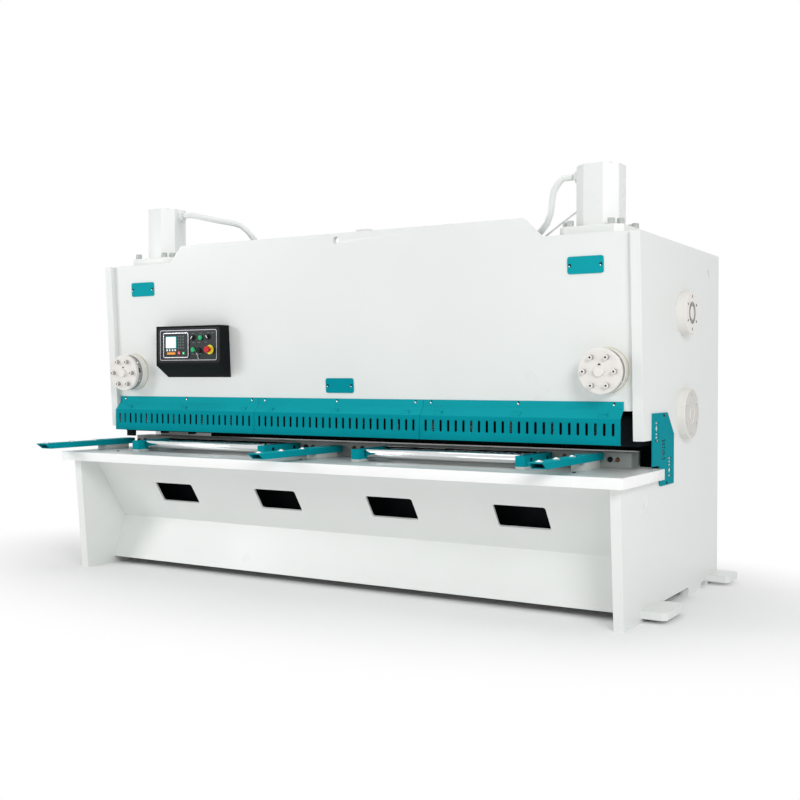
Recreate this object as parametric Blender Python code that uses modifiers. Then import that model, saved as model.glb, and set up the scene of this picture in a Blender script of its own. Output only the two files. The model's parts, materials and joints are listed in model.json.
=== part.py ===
"""Hydraulic guillotine shear for sheet metal, 3.2 m class, as an assembly of welded plates.

The front faces -Y, +X is the operator's right, +Z is up.  Lengths are in metres.  Depths are
written from the front edge of the side plates' top corner, and one empty carries the whole
machine so that the origin lies on the floor under the middle of its box.
"""
import math

import bmesh
import bpy
from mathutils import Matrix, Vector

# Clearance between solids that touch
GAP = 0.0003

# Table, the height that everything else is set from
TABLE_TOP = 0.708
TABLE_THICKNESS = 0.052
TABLE_OVERHANG = 0.0355
TABLE_FRONT = -0.3245
TABLE_REBATE = 0.065
TABLE_UNDERSIDE = TABLE_TOP - TABLE_THICKNESS - GAP

# Side plates: a throat opens to the front between the leaning upper jaw and the lower jaw
HALF_WIDTH = 1.72
PLATE_THICKNESS = 0.05
PLATE_REAR = 1.3533
THROAT_HEIGHT = 0.1414
THROAT_BACK = 0.44
THROAT_RADIUS = 0.045
JAW_HEIGHT = 0.986
JAW_LEAN = 0.057
LEG_FRONT_TOP = -0.256
LEG_FRONT_FLOOR = -0.199
INNER_X = HALF_WIDTH - PLATE_THICKNESS
JAW_BOTTOM = TABLE_TOP + THROAT_HEIGHT
PLATE_TOP = JAW_BOTTOM + JAW_HEIGHT

# Floor cut-outs, anchor lugs and lifting eye of each side plate
CUTOUT_RADIUS = 0.02
LONG_CUTOUT_FRONT = 0.33
LONG_CUTOUT_INSET = 0.5533
LONG_CUTOUT_HEIGHT = 0.045
SHORT_CUTOUT_INSET = 0.3233
SHORT_CUTOUT_LENGTH = 0.10
SHORT_CUTOUT_HEIGHT = 0.032
FRONT_LUG_START = 0.037
FRONT_LUG_LENGTH = 0.285
REAR_LUG_INSET = 0.2003
REAR_LUG_LENGTH = 0.192
LUG_REACH = 0.12
LUG_LIFT = 0.02
LUG_THICKNESS = 0.037
LUG_CHAMFER = 0.02
LIFTING_EYE_INSET = 0.2133
LIFTING_EYE_DROP = 0.1114
LIFTING_EYE_RADIUS = 0.02

# Bed: the block and the lower blade on the table, and the beam below
BED_HEIGHT = 0.078
BED_FRONT = 0.205
BED_DEPTH = 0.13
BED_LEFT_INSET = 0.015
BED_RIGHT_INSET = 0.06
BLADE_HEIGHT = 0.07
BLADE_THICKNESS = 0.022
BEAM_DEPTH = 0.135
BEAM_DROP = 0.458
BED_TOP = TABLE_TOP + BED_HEIGHT
BED_BACK = BED_FRONT + BED_DEPTH
BED_LEFT = -(INNER_X - BED_LEFT_INSET)
BED_RIGHT = INNER_X - BED_RIGHT_INSET
TABLE_BACK = BED_BACK - TABLE_REBATE
TABLE_HALF_LENGTH = HALF_WIDTH + TABLE_OVERHANG

# Bent apron under the table, with a row of windows
APRON_THICKNESS = 0.014
APRON_TOP_INSET = 0.1895
APRON_CREASE = (0.113, 0.287)
APRON_FOOT = (0.016, 0.038)
WINDOW_COUNT = 4
WINDOW_PITCH = 0.75
WINDOW_WIDTH = 0.283
WINDOW_HEIGHT = 0.142
WINDOW_RADIUS = 0.012
WINDOW_DROP = 0.009

# Front panel between the side plates, raised in the middle
PANEL_SETBACK = 0.03
PANEL_THICKNESS = 0.03
PANEL_CLEARANCE = 0.1406
PANEL_STEP = 0.0046
PANEL_RISE = 0.096
PANEL_SHOULDER_INSET = 0.46
PANEL_CORNER_RADIUS = 0.02
PANEL_HOLE_RADIUS = 0.02
PANEL_HOLE_DROP = 0.038
PANEL_BOTTOM = JAW_BOTTOM + PANEL_CLEARANCE
PANEL_SHOULDER = PLATE_TOP + PANEL_STEP

# Guard of bent sheet segments with upright slots
GUARD_SHEET = 0.004
GUARD_JOINT = 0.002
GUARD_LAP = 0.045
GUARD_FLANGE = 0.037
GUARD_SLOPE = 0.046
GUARD_FACE_HEIGHT = 0.12
GUARD_OFFSET = 0.0482
GUARD_LIP = 0.012
GUARD_LEFT_INSET = 0.005
GUARD_RIGHT_INSET = 0.0521
SLOTS_PER_SEGMENT = 24
SLOT_WIDTH = 0.014
SLOT_HEIGHT = 0.062
SLOT_DROP = 0.05
SLOT_END_MARGIN = 0.036
GUARD_TOP = PANEL_BOTTOM + GUARD_LAP
GUARD_KNEE = GUARD_TOP - GUARD_FLANGE - GUARD_SLOPE
GUARD_BOTTOM = GUARD_KNEE - GUARD_FACE_HEIGHT

# Hold-down beam with its feet
HOLD_CLEARANCE = 0.032
HOLD_HEIGHT = 0.147
HOLD_DEPTH = 0.193
HOLD_SETBACK = 0.017
HOLD_RADIUS = 0.02
HOLD_FOOT_RADIUS = 0.026
HOLD_FOOT_SETBACK = 0.048
HOLD_FOOT_CLEARANCE = 0.014
HOLD_FOOT_COUNT = 14
HOLD_FOOT_END_MARGIN = 0.19
HOLD_BOTTOM = BED_TOP + HOLD_CLEARANCE
HOLD_TOP = HOLD_BOTTOM + HOLD_HEIGHT
HOLD_BACK = BED_BACK - HOLD_SETBACK
HOLD_FRONT = HOLD_BACK - HOLD_DEPTH

# Cylinders on their mounting plates
CYLINDER_INSET = 0.286
CYLINDER_Y = 0.25
CYLINDER_WIDTH = 0.22
CYLINDER_CHAMFER = 0.06
CYLINDER_HEIGHT = 0.3596
FLANGE_SIDE = 0.33
FLANGE_CHAMFER = 0.037
FLANGE_THICKNESS = 0.05
MOUNT_PLATE_THICKNESS = 0.045
MOUNT_PLATE_REACH = 0.314
MOUNT_PLATE_DEPTH = 0.21
ROD_RADIUS = 0.045
ROD_CLEARANCE = 0.0005
ROD_DROP = 0.115
BORE_DROP = 0.075
CYLINDER_X = HALF_WIDTH - CYLINDER_INSET
CYLINDER_TOP = PLATE_TOP + CYLINDER_HEIGHT

# Ram, which carries the raked upper blade and hangs on two piston rods
RAM_SIDE_CLEARANCE = 0.03
RAM_TOP_CLEARANCE = 0.1704
RAM_WEB_THICKNESS = 0.04
RAM_SHELF_THICKNESS = 0.04
RAM_SHELF_LEAD = 0.08
RAM_SHELF_CLEARANCE = 0.035
RAM_RIB_COUNT = 6
RAM_RIB_THICKNESS = 0.02
RAM_STROKE = 0.12
RAKE_DEG = 1.0
UPPER_BLADE_HEIGHT = 0.075
UPPER_BLADE_THICKNESS = 0.0267
UPPER_BLADE_LAP = 0.03
BLADE_OPENING = 0.039
BLADE_CLEARANCE = 0.006
RAM_HALF_LENGTH = INNER_X - RAM_SIDE_CLEARANCE
RAM_WEB_FRONT = BED_BACK + BLADE_CLEARANCE + UPPER_BLADE_THICKNESS + GAP
RAM_WEB_BACK = RAM_WEB_FRONT + RAM_WEB_THICKNESS
RAM_TOP = PLATE_TOP - MOUNT_PLATE_THICKNESS - RAM_TOP_CLEARANCE
RAM_SHELF_FRONT = CYLINDER_Y - RAM_SHELF_LEAD
RAM_LOWER_SHELF_Z = HOLD_TOP + RAM_STROKE + RAM_SHELF_CLEARANCE
UPPER_BLADE_LOW = BED_TOP + BLADE_OPENING
RAM_BOTTOM_LEFT = UPPER_BLADE_LOW + UPPER_BLADE_HEIGHT - UPPER_BLADE_LAP

# Hydraulic pipes: each route is written from the cylinder's port, then from the valve block
PIPE_RADIUS = 0.0175
PORT_DROP = 0.04
PORT_NUT_RADIUS = 0.032
PORT_NUT_LENGTH = 0.024
PORT_COLLAR_RADIUS = 0.023
PORT_LENGTH = 0.04
VALVE_PORT_LIFT = 0.06
LEFT_FROM_PORT = ((0.05, 0.0, 0.0), (0.2367, 0.0, -0.042), (0.4437, 0.0, -0.093),
                  (0.5237, 0.02, -0.175), (0.5837, 0.11, -0.255))
LEFT_TO_VALVE = ((-0.58, -0.20), (-0.28, -0.06), (-0.06, -0.03), (0.0, -0.03))
RIGHT_FROM_PORT = ((-0.05, 0.0, 0.0), (-0.1037, 0.0, -0.065), (-0.1187, 0.0, -0.175),
                   (-0.1837, 0.03, -0.255))
RIGHT_TO_VALVE = ((0.60, -0.28), (0.28, -0.10), (0.08, 0.0), (0.0, 0.0))
PORT_X = CYLINDER_X - CYLINDER_WIDTH / 2.0 - PORT_LENGTH - GAP
PORT_Z = CYLINDER_TOP - PORT_DROP

# Oil tank, pump motor and valve block behind the raised middle of the panel
SHELF_DROP = 0.3354
SHELF_THICKNESS = 0.02
SHELF_CLEARANCE = 0.052
SHELF_REAR_INSET = 0.1533
TANK_HALF_LENGTH = 0.60
TANK_SETBACK = 0.04
TANK_DEPTH = 0.50
TANK_HEIGHT = 0.30
TANK_LID = 0.012
TANK_LID_OVERHANG = 0.02
MOTOR_X = -0.28
MOTOR_SETBACK = 0.26
MOTOR_RADIUS = 0.085
MOTOR_LENGTH = 0.30
MOTOR_LIFT = 0.03
MOTOR_FIN_COUNT = 18
MOTOR_FIN_DEPTH = 0.009
MOTOR_COWL_LENGTH = 0.06
MOTOR_FOOT = (0.20, 0.14)
TERMINAL_BOX = (0.09, 0.08, 0.045)
VALVE_X = 0.20
VALVE_SETBACK = 0.20
VALVE_SIZE = (0.24, 0.14, 0.12)
SHELF_Z = PLATE_TOP - SHELF_DROP
SHELF_FRONT = RAM_WEB_BACK + SHELF_CLEARANCE
SHELF_BACK = PLATE_REAR - SHELF_REAR_INSET
TANK_FRONT = SHELF_FRONT + TANK_SETBACK
TANK_BACK = TANK_FRONT + TANK_DEPTH
TANK_TOP = SHELF_Z + TANK_HEIGHT
LID_TOP = TANK_TOP + TANK_LID
MOTOR_Y = TANK_FRONT + MOTOR_SETBACK
VALVE_Y = TANK_FRONT + VALVE_SETBACK

# Round guide housings on the panel and the side plates
CAP_INSET = 0.185
CAP_LIFT = 0.195
CAP_RADIUS = 0.11
CAP_DEPTH = 0.10
CAP_GROOVE = 0.011
CAP_GROOVE_SPAN = (0.042, 0.056)
CAP_BOSS_RADIUS = 0.024
CAP_BOSS_DEPTH = 0.018
SIDE_FLANGE_DEPTH = 0.068
SIDE_UPPER_Y = 0.67
SIDE_UPPER_DROP = 0.3454
SIDE_UPPER_RADIUS = 0.118
SIDE_LOWER_SETBACK = 0.26
SIDE_LOWER_LIFT = 0.1146
SIDE_LOWER_RADIUS = 0.13

# Teal cover plates on the panel
SHOULDER_PLATE_INSET = 0.2832
SHOULDER_PLATE_DROP = 0.150
SHOULDER_PLATE_SIZE = (0.184, 0.084)
MIDDLE_PLATE_X = -0.0055
MIDDLE_PLATE_LIFT = 0.0715
MIDDLE_PLATE_SIZE = (0.183, 0.081)
COVER_THICKNESS = 0.004
COVER_RADIUS = 0.012

# Control box with a sloping underside, and the controls on its face.  Face places are
# (across from the left edge, down from the top edge).
BOX_INSET = 0.448
BOX_WIDTH = 0.50
BOX_DEPTH = 0.0867
BOX_LIFT = 0.118
BOX_FACE_HEIGHT = 0.233
BOX_BACK_HEIGHT = 0.302
FRAME_RADIUS = 0.012
OUTER_FRAME = ((0.249, 0.114), (0.450, 0.180), 0.0045, 0.004)
CONTROLLER_BEZEL = ((0.1553, 0.114), (0.2005, 0.148), 0.008, 0.008)
SCREEN = ((0.118, 0.0965), (0.078, 0.065))
SCREEN_DEPTH = 0.002
CONTROL_STEPS = 16
BUTTONS = ((0.349, 0.072), (0.291, 0.1415))
BUTTON_RADIUS = 0.0143
BUTTON_DEPTH = 0.011
SELECTORS = ((0.288, 0.0707), (0.406, 0.068))
SELECTOR_TURN_DEG = 35.0
SELECTOR_HANDLE = (0.009, 0.024, 0.018)
KEY_SWITCH = (0.336, 0.145)
KEY_SWITCH_DEPTH = 0.012
STOP_PLACE = (0.419, 0.142)
STOP_PLATE_RADIUS = 0.028
STOP_PLATE_DEPTH = 0.004
STOP_STEM_RADIUS = 0.010
STOP_HEAD_RADIUS = 0.0185
STOP_HEAD_DEPTH = 0.014
STOP_REACH = 0.036
BOX_LEFT = -(HALF_WIDTH - BOX_INSET)
BOX_RIGHT = BOX_LEFT + BOX_WIDTH
BOX_TOP = GUARD_TOP + BOX_LIFT + BOX_BACK_HEIGHT
BOX_FRONT = PANEL_SETBACK + (PLATE_TOP - BOX_TOP) * JAW_LEAN - BOX_DEPTH

# Sheet support arms: box sections with an open slanted tip, seats for transfer balls and a foot
ARM_WIDTH = 0.075
ARM_WALL = 0.005
ARM_HEIGHT = 0.034
ARM_SLANT = 0.045
ARM_RECESS = 0.003
ARM_RECESS_LENGTH = 0.475
ARM_REAR_CHAMFER = 0.012
ARM_FOOT_WIDTH = 0.07
ARM_FOOT_SPAN = (0.255, 0.06)
BALL_COUNT = 3
BALL_FIRST = 0.045
BALL_PITCH = 0.19
BALL_SEAT_RADIUS = 0.0185
BALL_SEAT_HEIGHT = 0.005
# Centre x, height of the top above the table, tip
SUPPORT_ARMS = {
    "support_arm_left": (-(TABLE_HALF_LENGTH - 0.052), 0.060, -0.530),
    "support_arm_middle": (-0.1075, 0.060, -0.562),
    "support_arm_right": (HALF_WIDTH - 0.283, 0.074, -0.545),
}
FOREMOST = min(tip for _, _, tip in SUPPORT_ARMS.values())

# Roller frames: two chromed rollers between two bent brackets on the bed block
FRAME_END_INSET = 0.354
FRAME_WIDTH_INSET = 0.725
RIGHT_FRAME_X = 0.202
BRACKET_SHEET = 0.006
BRACKET_FLANGE = 0.049
BRACKET_HEIGHT = 0.052
BRACKET_LIFT = 0.014
BRACKET_FRONT = -0.13
ROLLER_RADIUS = 0.025
ROLLER_RISE = 0.003
ROLLER_FRONT_Y = -0.052
ROLLER_SPACING = 0.197
ROLLER_END_GAP = 0.068
JOURNAL_RADIUS = 0.013
JOURNAL_GAP = 0.02
AXLE_RADIUS = 0.008
AXLE_CLEARANCE = 0.0005
FRAME_WIDTH = HALF_WIDTH - FRAME_WIDTH_INSET
LEFT_FRAME_X = -(HALF_WIDTH - FRAME_END_INSET)
BRACKET_BOTTOM = TABLE_TOP + BRACKET_LIFT
BRACKET_TOP = BRACKET_BOTTOM + BRACKET_HEIGHT
ROLLER_Z = BRACKET_TOP + ROLLER_RISE - ROLLER_RADIUS

# Slotted teal bracket on the right side plate, notched round the table's end
SCALE_SHEET = 0.006
SCALE_RISE = 0.27
SCALE_FALL = 0.088
SCALE_DEPTH = 0.335
SCALE_SETBACK = 0.071
SCALE_SLANT = (0.105, 0.11)
SCALE_CLEARANCE = 0.014
SCALE_FOOT_RADIUS = 0.025
SCALE_SLOT_WIDTH = 0.05
SCALE_SLOT_HEIGHTS = (0.010, 0.030)
SCALE_COLUMN_PITCH = 0.1025
SCALE_FIRST_COLUMN = 0.271
# Height of each column's top slot above the table, and each slot's drop below it and kind
SCALE_COLUMNS = (
    (0.223, ((0.0, 0), (0.027, 1), (0.054, 0), (0.070, 0), (0.086, 0))),
    (0.133, ((0.0, 0), (0.017, 0), (0.034, 0), (0.060, 1), (0.088, 0))),
    (0.041, ((0.0, 0), (0.017, 0), (0.033, 0), (0.060, 1), (0.086, 0))),
)

# Rear: back gauge on two rails and two screws, off-cut chute and cross beam
RAIL_X = 0.95
RAIL_WIDTH = 0.08
RAIL_DROP = 0.048
RAIL_HEIGHT = 0.08
REAR_BEAM_INSET = 0.1333
REAR_BEAM_SIZE = 0.12
REAR_BEAM_WALL = 0.012
GAUGE_Y = 0.80
GAUGE_DEPTH = 0.10
GAUGE_HEIGHT = 0.11
GAUGE_END_MARGIN = 0.12
GAUGE_WALL = 0.012
SCREW_OFFSET = 0.11
SCREW_RADIUS = 0.0125
SCREW_DROP = 0.05
SCREW_CLEARANCE = 0.001
NUT_SIZE = (0.06, 0.07, 0.065)
CHUTE_SHEET = 0.004
CHUTE_TOP_Y = 0.40
CHUTE_DROP = 0.08
CHUTE_FOOT = (1.05, 0.20)
RAIL_TOP = TABLE_TOP - RAIL_DROP
REAR_BEAM_TOP = RAIL_TOP - RAIL_HEIGHT
REAR_BEAM_Y = PLATE_REAR - REAR_BEAM_INSET
SCREW_X = RAIL_X + SCREW_OFFSET
SCREW_Z = REAR_BEAM_TOP - SCREW_DROP

MIDDLE_Y = (FOREMOST + PLATE_REAR) / 2.0

PALETTE = {
    "white enamel": ((0.80, 0.81, 0.79), 0.35, 0.0),
    "teal enamel": ((0.003, 0.235, 0.27), 0.35, 0.0),
    "black enamel": ((0.016, 0.016, 0.017), 0.5, 0.0),
    "ground steel": ((0.42, 0.43, 0.43), 0.3, 1.0),
    "chrome": ((0.75, 0.75, 0.75), 0.12, 1.0),
    "blade steel": ((0.5, 0.5, 0.52), 0.25, 1.0),
    "grey bed paint": ((0.35, 0.38, 0.37), 0.4, 0.0),
}


def clear_scene():
    for item in list(bpy.data.objects):
        bpy.data.objects.remove(item, do_unlink=True)


def make_collection(name):
    group = bpy.data.collections.new(name)
    bpy.context.scene.collection.children.link(group)
    return group


clear_scene()
PARTS = make_collection("guillotine_shear")
CUTTERS = make_collection("cutters")
ORIGIN = bpy.data.objects.new("machine_frame", None)
ORIGIN.location = (0.0, -MIDDLE_Y, 0.0)
PARTS.objects.link(ORIGIN)


def material_for(part_name, finish):
    colour, roughness, metallic = PALETTE[finish]
    material = bpy.data.materials.new(part_name + " " + finish)
    material.use_nodes = True
    shader = material.node_tree.nodes["Principled BSDF"]
    shader.inputs["Base Color"].default_value = (*colour, 1.0)
    shader.inputs["Roughness"].default_value = roughness
    shader.inputs["Metallic"].default_value = metallic
    return material


def panel_y(z):
    """Depth of the front panel's face at height z."""
    return PANEL_SETBACK + (PLATE_TOP - z) * JAW_LEAN


def add_part(name, mesh, finish, location=(0.0, 0.0, 0.0), smooth=False):
    part = bpy.data.objects.new(name, mesh)
    mesh.materials.clear()
    mesh.materials.append(material_for(name, finish))
    part.location = location
    part.parent = ORIGIN
    PARTS.objects.link(part)
    if smooth:
        mesh.shade_smooth()
        mesh.set_sharp_from_angle(angle=math.radians(35.0))
    return part


def add_cutter(name, mesh, location=(0.0, 0.0, 0.0)):
    cutter = bpy.data.objects.new(name, mesh)
    cutter.location = location
    cutter.parent = ORIGIN
    cutter.display_type = "WIRE"
    cutter.hide_render = True
    CUTTERS.objects.link(cutter)
    return cutter


def boolean(part, other, operation="DIFFERENCE"):
    modifier = part.modifiers.new(operation.lower() + " " + other.name, "BOOLEAN")
    modifier.operation = operation
    modifier.solver = "EXACT"
    modifier.object = other
    return modifier


def mesh_from(name, bm):
    bmesh.ops.recalc_face_normals(bm, faces=bm.faces)
    mesh = bpy.data.meshes.new(name)
    bm.to_mesh(mesh)
    bm.free()
    return mesh


def join_box(bm, low, high):
    """Add an axis-parallel box between two corners to a bmesh."""
    low, high = Vector(low), Vector(high)
    scale = Matrix.Diagonal((*(high - low), 1.0))
    bmesh.ops.create_cube(bm, size=1.0, matrix=Matrix.Translation((low + high) / 2.0) @ scale)


def box_mesh(name, low, high):
    bm = bmesh.new()
    join_box(bm, low, high)
    return mesh_from(name, bm)


def join_cylinder(bm, start, end, radius, segments=32, end_radius=None):
    """Add a closed cylinder or cone between two points to a bmesh."""
    start, end = Vector(start), Vector(end)
    axis = end - start
    turn = axis.to_track_quat("Z", "Y").to_matrix().to_4x4()
    matrix = Matrix.Translation((start + end) / 2.0) @ turn
    bmesh.ops.create_cone(
        bm, cap_ends=True, segments=segments, radius1=radius,
        radius2=radius if end_radius is None else end_radius,
        depth=axis.length, matrix=matrix)


def cylinder_mesh(name, start, end, radius, segments=32):
    bm = bmesh.new()
    join_cylinder(bm, start, end, radius, segments)
    return mesh_from(name, bm)


def outline_mesh(name, points, thickness, matrix, holes=()):
    """Flat outline as a filled 2D curve, thickened and welded into a closed mesh.

    The outline's plane is the curve's XY plane and the thickness is centred on it.
    """
    curve = bpy.data.curves.new(name, "CURVE")
    curve.dimensions = "2D"
    curve.fill_mode = "BOTH"
    curve.extrude = thickness / 2.0
    for ring in (points, *holes):
        spline = curve.splines.new("POLY")
        spline.points.add(len(ring) - 1)
        for point, (a, b) in zip(spline.points, ring):
            point.co = (a, b, 0.0, 1.0)
        spline.use_cyclic_u = True
    holder = bpy.data.objects.new(name + " outline", curve)
    bpy.context.scene.collection.objects.link(holder)
    depsgraph = bpy.context.evaluated_depsgraph_get()
    mesh = bpy.data.meshes.new_from_object(holder.evaluated_get(depsgraph))
    bpy.data.objects.remove(holder, do_unlink=True)
    bm = bmesh.new()
    bm.from_mesh(mesh)
    bpy.data.meshes.remove(mesh)
    bmesh.ops.remove_doubles(bm, verts=bm.verts, dist=0.00005)
    bmesh.ops.transform(bm, matrix=matrix, verts=bm.verts)
    return mesh_from(name, bm)


# A curve's (a, b) axes laid on the machine's planes
ON_YZ = Matrix(((0, 0, 1, 0), (1, 0, 0, 0), (0, 1, 0, 0), (0, 0, 0, 1)))
ON_XZ = Matrix(((1, 0, 0, 0), (0, 0, -1, 0), (0, 1, 0, 0), (0, 0, 0, 1)))


def profile_along_x(name, points, x_low, x_high, holes=()):
    """Prism of a (y, z) outline between two x places."""
    place = Matrix.Translation(((x_low + x_high) / 2.0, 0.0, 0.0))
    return outline_mesh(name, points, x_high - x_low, place @ ON_YZ, holes)


def arc(centre, radius, start_deg, end_deg, steps=6):
    span = end_deg - start_deg
    angles = [math.radians(start_deg + span * i / steps) for i in range(steps + 1)]
    return [(centre[0] + radius * math.cos(t), centre[1] + radius * math.sin(t)) for t in angles]


def rounded_rectangle(width, height, radius, steps=4, centre=(0.0, 0.0)):
    a, b = width / 2.0 - radius, height / 2.0 - radius
    x, z = centre
    return (arc((x + a, z + b), radius, 0, 90, steps) + arc((x - a, z + b), radius, 90, 180, steps)
            + arc((x - a, z - b), radius, 180, 270, steps) + arc((x + a, z - b), radius, 270, 360, steps))


def side_plate_outline():
    """(y, z) outline of the C-shaped side plate with floor cut-outs."""
    jaw_front = JAW_HEIGHT * JAW_LEAN
    points = [(PLATE_REAR, 0.0), (PLATE_REAR, PLATE_TOP), (0.0, PLATE_TOP), (jaw_front, JAW_BOTTOM)]
    corner_y = THROAT_BACK - THROAT_RADIUS
    points += arc((corner_y, JAW_BOTTOM - THROAT_RADIUS), THROAT_RADIUS, 90, 0)
    points += arc((corner_y, TABLE_UNDERSIDE + THROAT_RADIUS), THROAT_RADIUS, 0, -90)
    points += [(LEG_FRONT_TOP, TABLE_UNDERSIDE), (LEG_FRONT_FLOOR, 0.0)]
    short_start = PLATE_REAR - SHORT_CUTOUT_INSET
    for low, high, height in ((LONG_CUTOUT_FRONT, PLATE_REAR - LONG_CUTOUT_INSET, LONG_CUTOUT_HEIGHT),
                              (short_start, short_start + SHORT_CUTOUT_LENGTH, SHORT_CUTOUT_HEIGHT)):
        r = CUTOUT_RADIUS
        points.append((low, 0.0))
        points += arc((low + r, height - r), r, 180, 90, 4)
        points += arc((high - r, height - r), r, 90, 0, 4)
        points.append((high, 0.0))
    return points


def side_plate(name, side):
    x_low, x_high = sorted((side * INNER_X, side * HALF_WIDTH))
    mesh = profile_along_x(name, side_plate_outline(), x_low, x_high)
    plate = add_part(name, mesh, "white enamel")
    rear_start = PLATE_REAR - REAR_LUG_INSET
    for place, front, back in (("front", FRONT_LUG_START, FRONT_LUG_START + FRONT_LUG_LENGTH),
                               ("rear", rear_start, rear_start + REAR_LUG_LENGTH)):
        inner = side * (HALF_WIDTH - PLATE_THICKNESS / 2.0)
        outer = side * (HALF_WIDTH + LUG_REACH)
        bevel = side * LUG_CHAMFER
        outline = [(inner, front), (outer - bevel, front), (outer, front + LUG_CHAMFER),
                   (outer, back - LUG_CHAMFER), (outer - bevel, back), (inner, back)]
        middle = LUG_LIFT + LUG_THICKNESS / 2.0
        lug = add_cutter(name + "_lug_" + place, outline_mesh(
            name + " lug", outline, LUG_THICKNESS, Matrix.Translation((0, 0, middle))))
        boolean(plate, lug, "UNION")
    eye_y = PLATE_REAR - LIFTING_EYE_INSET
    eye_z = PLATE_TOP - LIFTING_EYE_DROP
    eye = cylinder_mesh(name + " eye", (side * (INNER_X - 0.01), eye_y, eye_z),
                        (side * (HALF_WIDTH + 0.01), eye_y, eye_z), LIFTING_EYE_RADIUS, 20)
    boolean(plate, add_cutter(name + "_eye", eye))
    return plate


def front_panel():
    """Leaning panel with a raised middle, a lifting hole and rounded lower corners."""
    half = INNER_X - GAP
    top = PANEL_SHOULDER + PANEL_RISE
    shoulder_x = INNER_X - PANEL_SHOULDER_INSET
    radius = PANEL_CORNER_RADIUS
    right = [(shoulder_x - PANEL_RISE, top), (shoulder_x, PANEL_SHOULDER), (half, PANEL_SHOULDER)]
    right += arc((half - radius, PANEL_BOTTOM + radius), radius, 0, -90, 4)
    left = [(-x, z) for x, z in reversed(right)]
    mesh = outline_mesh("front_panel", right + left, PANEL_THICKNESS, ON_XZ)
    bm = bmesh.new()
    bm.from_mesh(mesh)
    bmesh.ops.translate(bm, vec=(0, PANEL_THICKNESS / 2.0, 0), verts=bm.verts)
    for vert in bm.verts:
        vert.co.y += panel_y(vert.co.z)
    bm.to_mesh(mesh)
    bm.free()
    panel = add_part("front_panel", mesh, "white enamel")
    hole_z = top - PANEL_HOLE_DROP
    hole = cylinder_mesh("panel hole", (0, panel_y(hole_z) - 0.02, hole_z),
                         (0, panel_y(hole_z) + PANEL_THICKNESS + 0.02, hole_z), PANEL_HOLE_RADIUS, 20)
    boolean(panel, add_cutter("panel_lifting_hole", hole))
    return panel


def apron():
    """Bent plate under the table, with windows through its upper slope."""
    half = INNER_X - GAP
    t = APRON_THICKNESS
    top_y = TABLE_FRONT + APRON_TOP_INSET
    crease_y, crease_z = APRON_CREASE
    foot_y, foot_z = APRON_FOOT
    outline = [(top_y, TABLE_UNDERSIDE), APRON_CREASE, APRON_FOOT, (foot_y + t, foot_z),
               (crease_y + t, crease_z), (top_y + t * 1.2, TABLE_UNDERSIDE)]
    plate = add_part("front_apron", profile_along_x("apron", outline, -half, half), "white enamel")
    middle_z = (TABLE_UNDERSIDE + crease_z) / 2.0 - WINDOW_DROP
    slope = Vector((0, crease_y - top_y, crease_z - TABLE_UNDERSIDE))
    turn = Matrix.Rotation(math.atan2(slope.y, -slope.z), 4, "X")
    middle_y = top_y + slope.y * (middle_z - TABLE_UNDERSIDE) / slope.z
    for index in range(WINDOW_COUNT):
        x = (index - (WINDOW_COUNT - 1) / 2.0) * WINDOW_PITCH
        place = Matrix.Translation((x, middle_y, middle_z))
        window = outline_mesh("window", rounded_rectangle(WINDOW_WIDTH, WINDOW_HEIGHT, WINDOW_RADIUS),
                              APRON_THICKNESS * 6, place @ turn @ ON_XZ)
        boolean(plate, add_cutter("window_" + str(index + 1), window))
    return plate


def table():
    low = (-TABLE_HALF_LENGTH, TABLE_FRONT, TABLE_TOP - TABLE_THICKNESS)
    high = (TABLE_HALF_LENGTH, TABLE_BACK, TABLE_TOP)
    return add_part("table_top", box_mesh("table_top", low, high), "ground steel")


def bed():
    """Beam under the cutting line, the block on it and the lower blade."""
    half = INNER_X - GAP
    front = BED_BACK - BEAM_DEPTH
    bottom = TABLE_TOP - BEAM_DROP
    step = TABLE_BACK + GAP
    outline = [(front, bottom), (BED_BACK, bottom), (BED_BACK, TABLE_TOP),
               (step, TABLE_TOP), (step, TABLE_UNDERSIDE), (front, TABLE_UNDERSIDE)]
    add_part("bed_beam", profile_along_x("bed_beam", outline, -half, half), "white enamel")
    seat = TABLE_TOP + GAP
    blade_low = BED_TOP - BLADE_HEIGHT
    blade_front = BED_BACK - BLADE_THICKNESS
    block = [(BED_FRONT, seat), (BED_BACK, seat), (BED_BACK, blade_low - GAP),
             (blade_front - GAP, blade_low - GAP), (blade_front - GAP, BED_TOP), (BED_FRONT, BED_TOP)]
    add_part("bed_block", profile_along_x("bed_block", block, BED_LEFT, BED_RIGHT), "grey bed paint")
    add_part("lower_blade", box_mesh("lower_blade", (BED_LEFT, blade_front, blade_low),
                                     (BED_RIGHT, BED_BACK, BED_TOP)), "blade steel")


def guard_profile():
    """(y, z) path of the guard sheet's back face, from its flange down to its lip."""
    face = panel_y(PANEL_BOTTOM) - GUARD_OFFSET + GUARD_SHEET
    flange_low = GUARD_TOP - GUARD_FLANGE
    return [(panel_y(GUARD_TOP), GUARD_TOP), (panel_y(flange_low), flange_low),
            (face, GUARD_KNEE), (face, GUARD_BOTTOM), (face + GUARD_LIP, GUARD_BOTTOM)]


def slot_cutter(name, x_first, pitch):
    outline = rounded_rectangle(SLOT_WIDTH, SLOT_HEIGHT, SLOT_WIDTH / 2.0 - 0.00002, 2)
    place = Matrix.Translation((x_first, panel_y(PANEL_BOTTOM) - GUARD_OFFSET, GUARD_KNEE - SLOT_DROP))
    cutter = add_cutter(name, outline_mesh(name, outline, GUARD_SHEET * 5, place @ ON_XZ))
    array = cutter.modifiers.new("slots", "ARRAY")
    array.use_relative_offset = False
    array.use_constant_offset = True
    array.constant_offset_displace = (pitch, 0.0, 0.0)
    array.count = SLOTS_PER_SEGMENT
    return cutter


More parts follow.
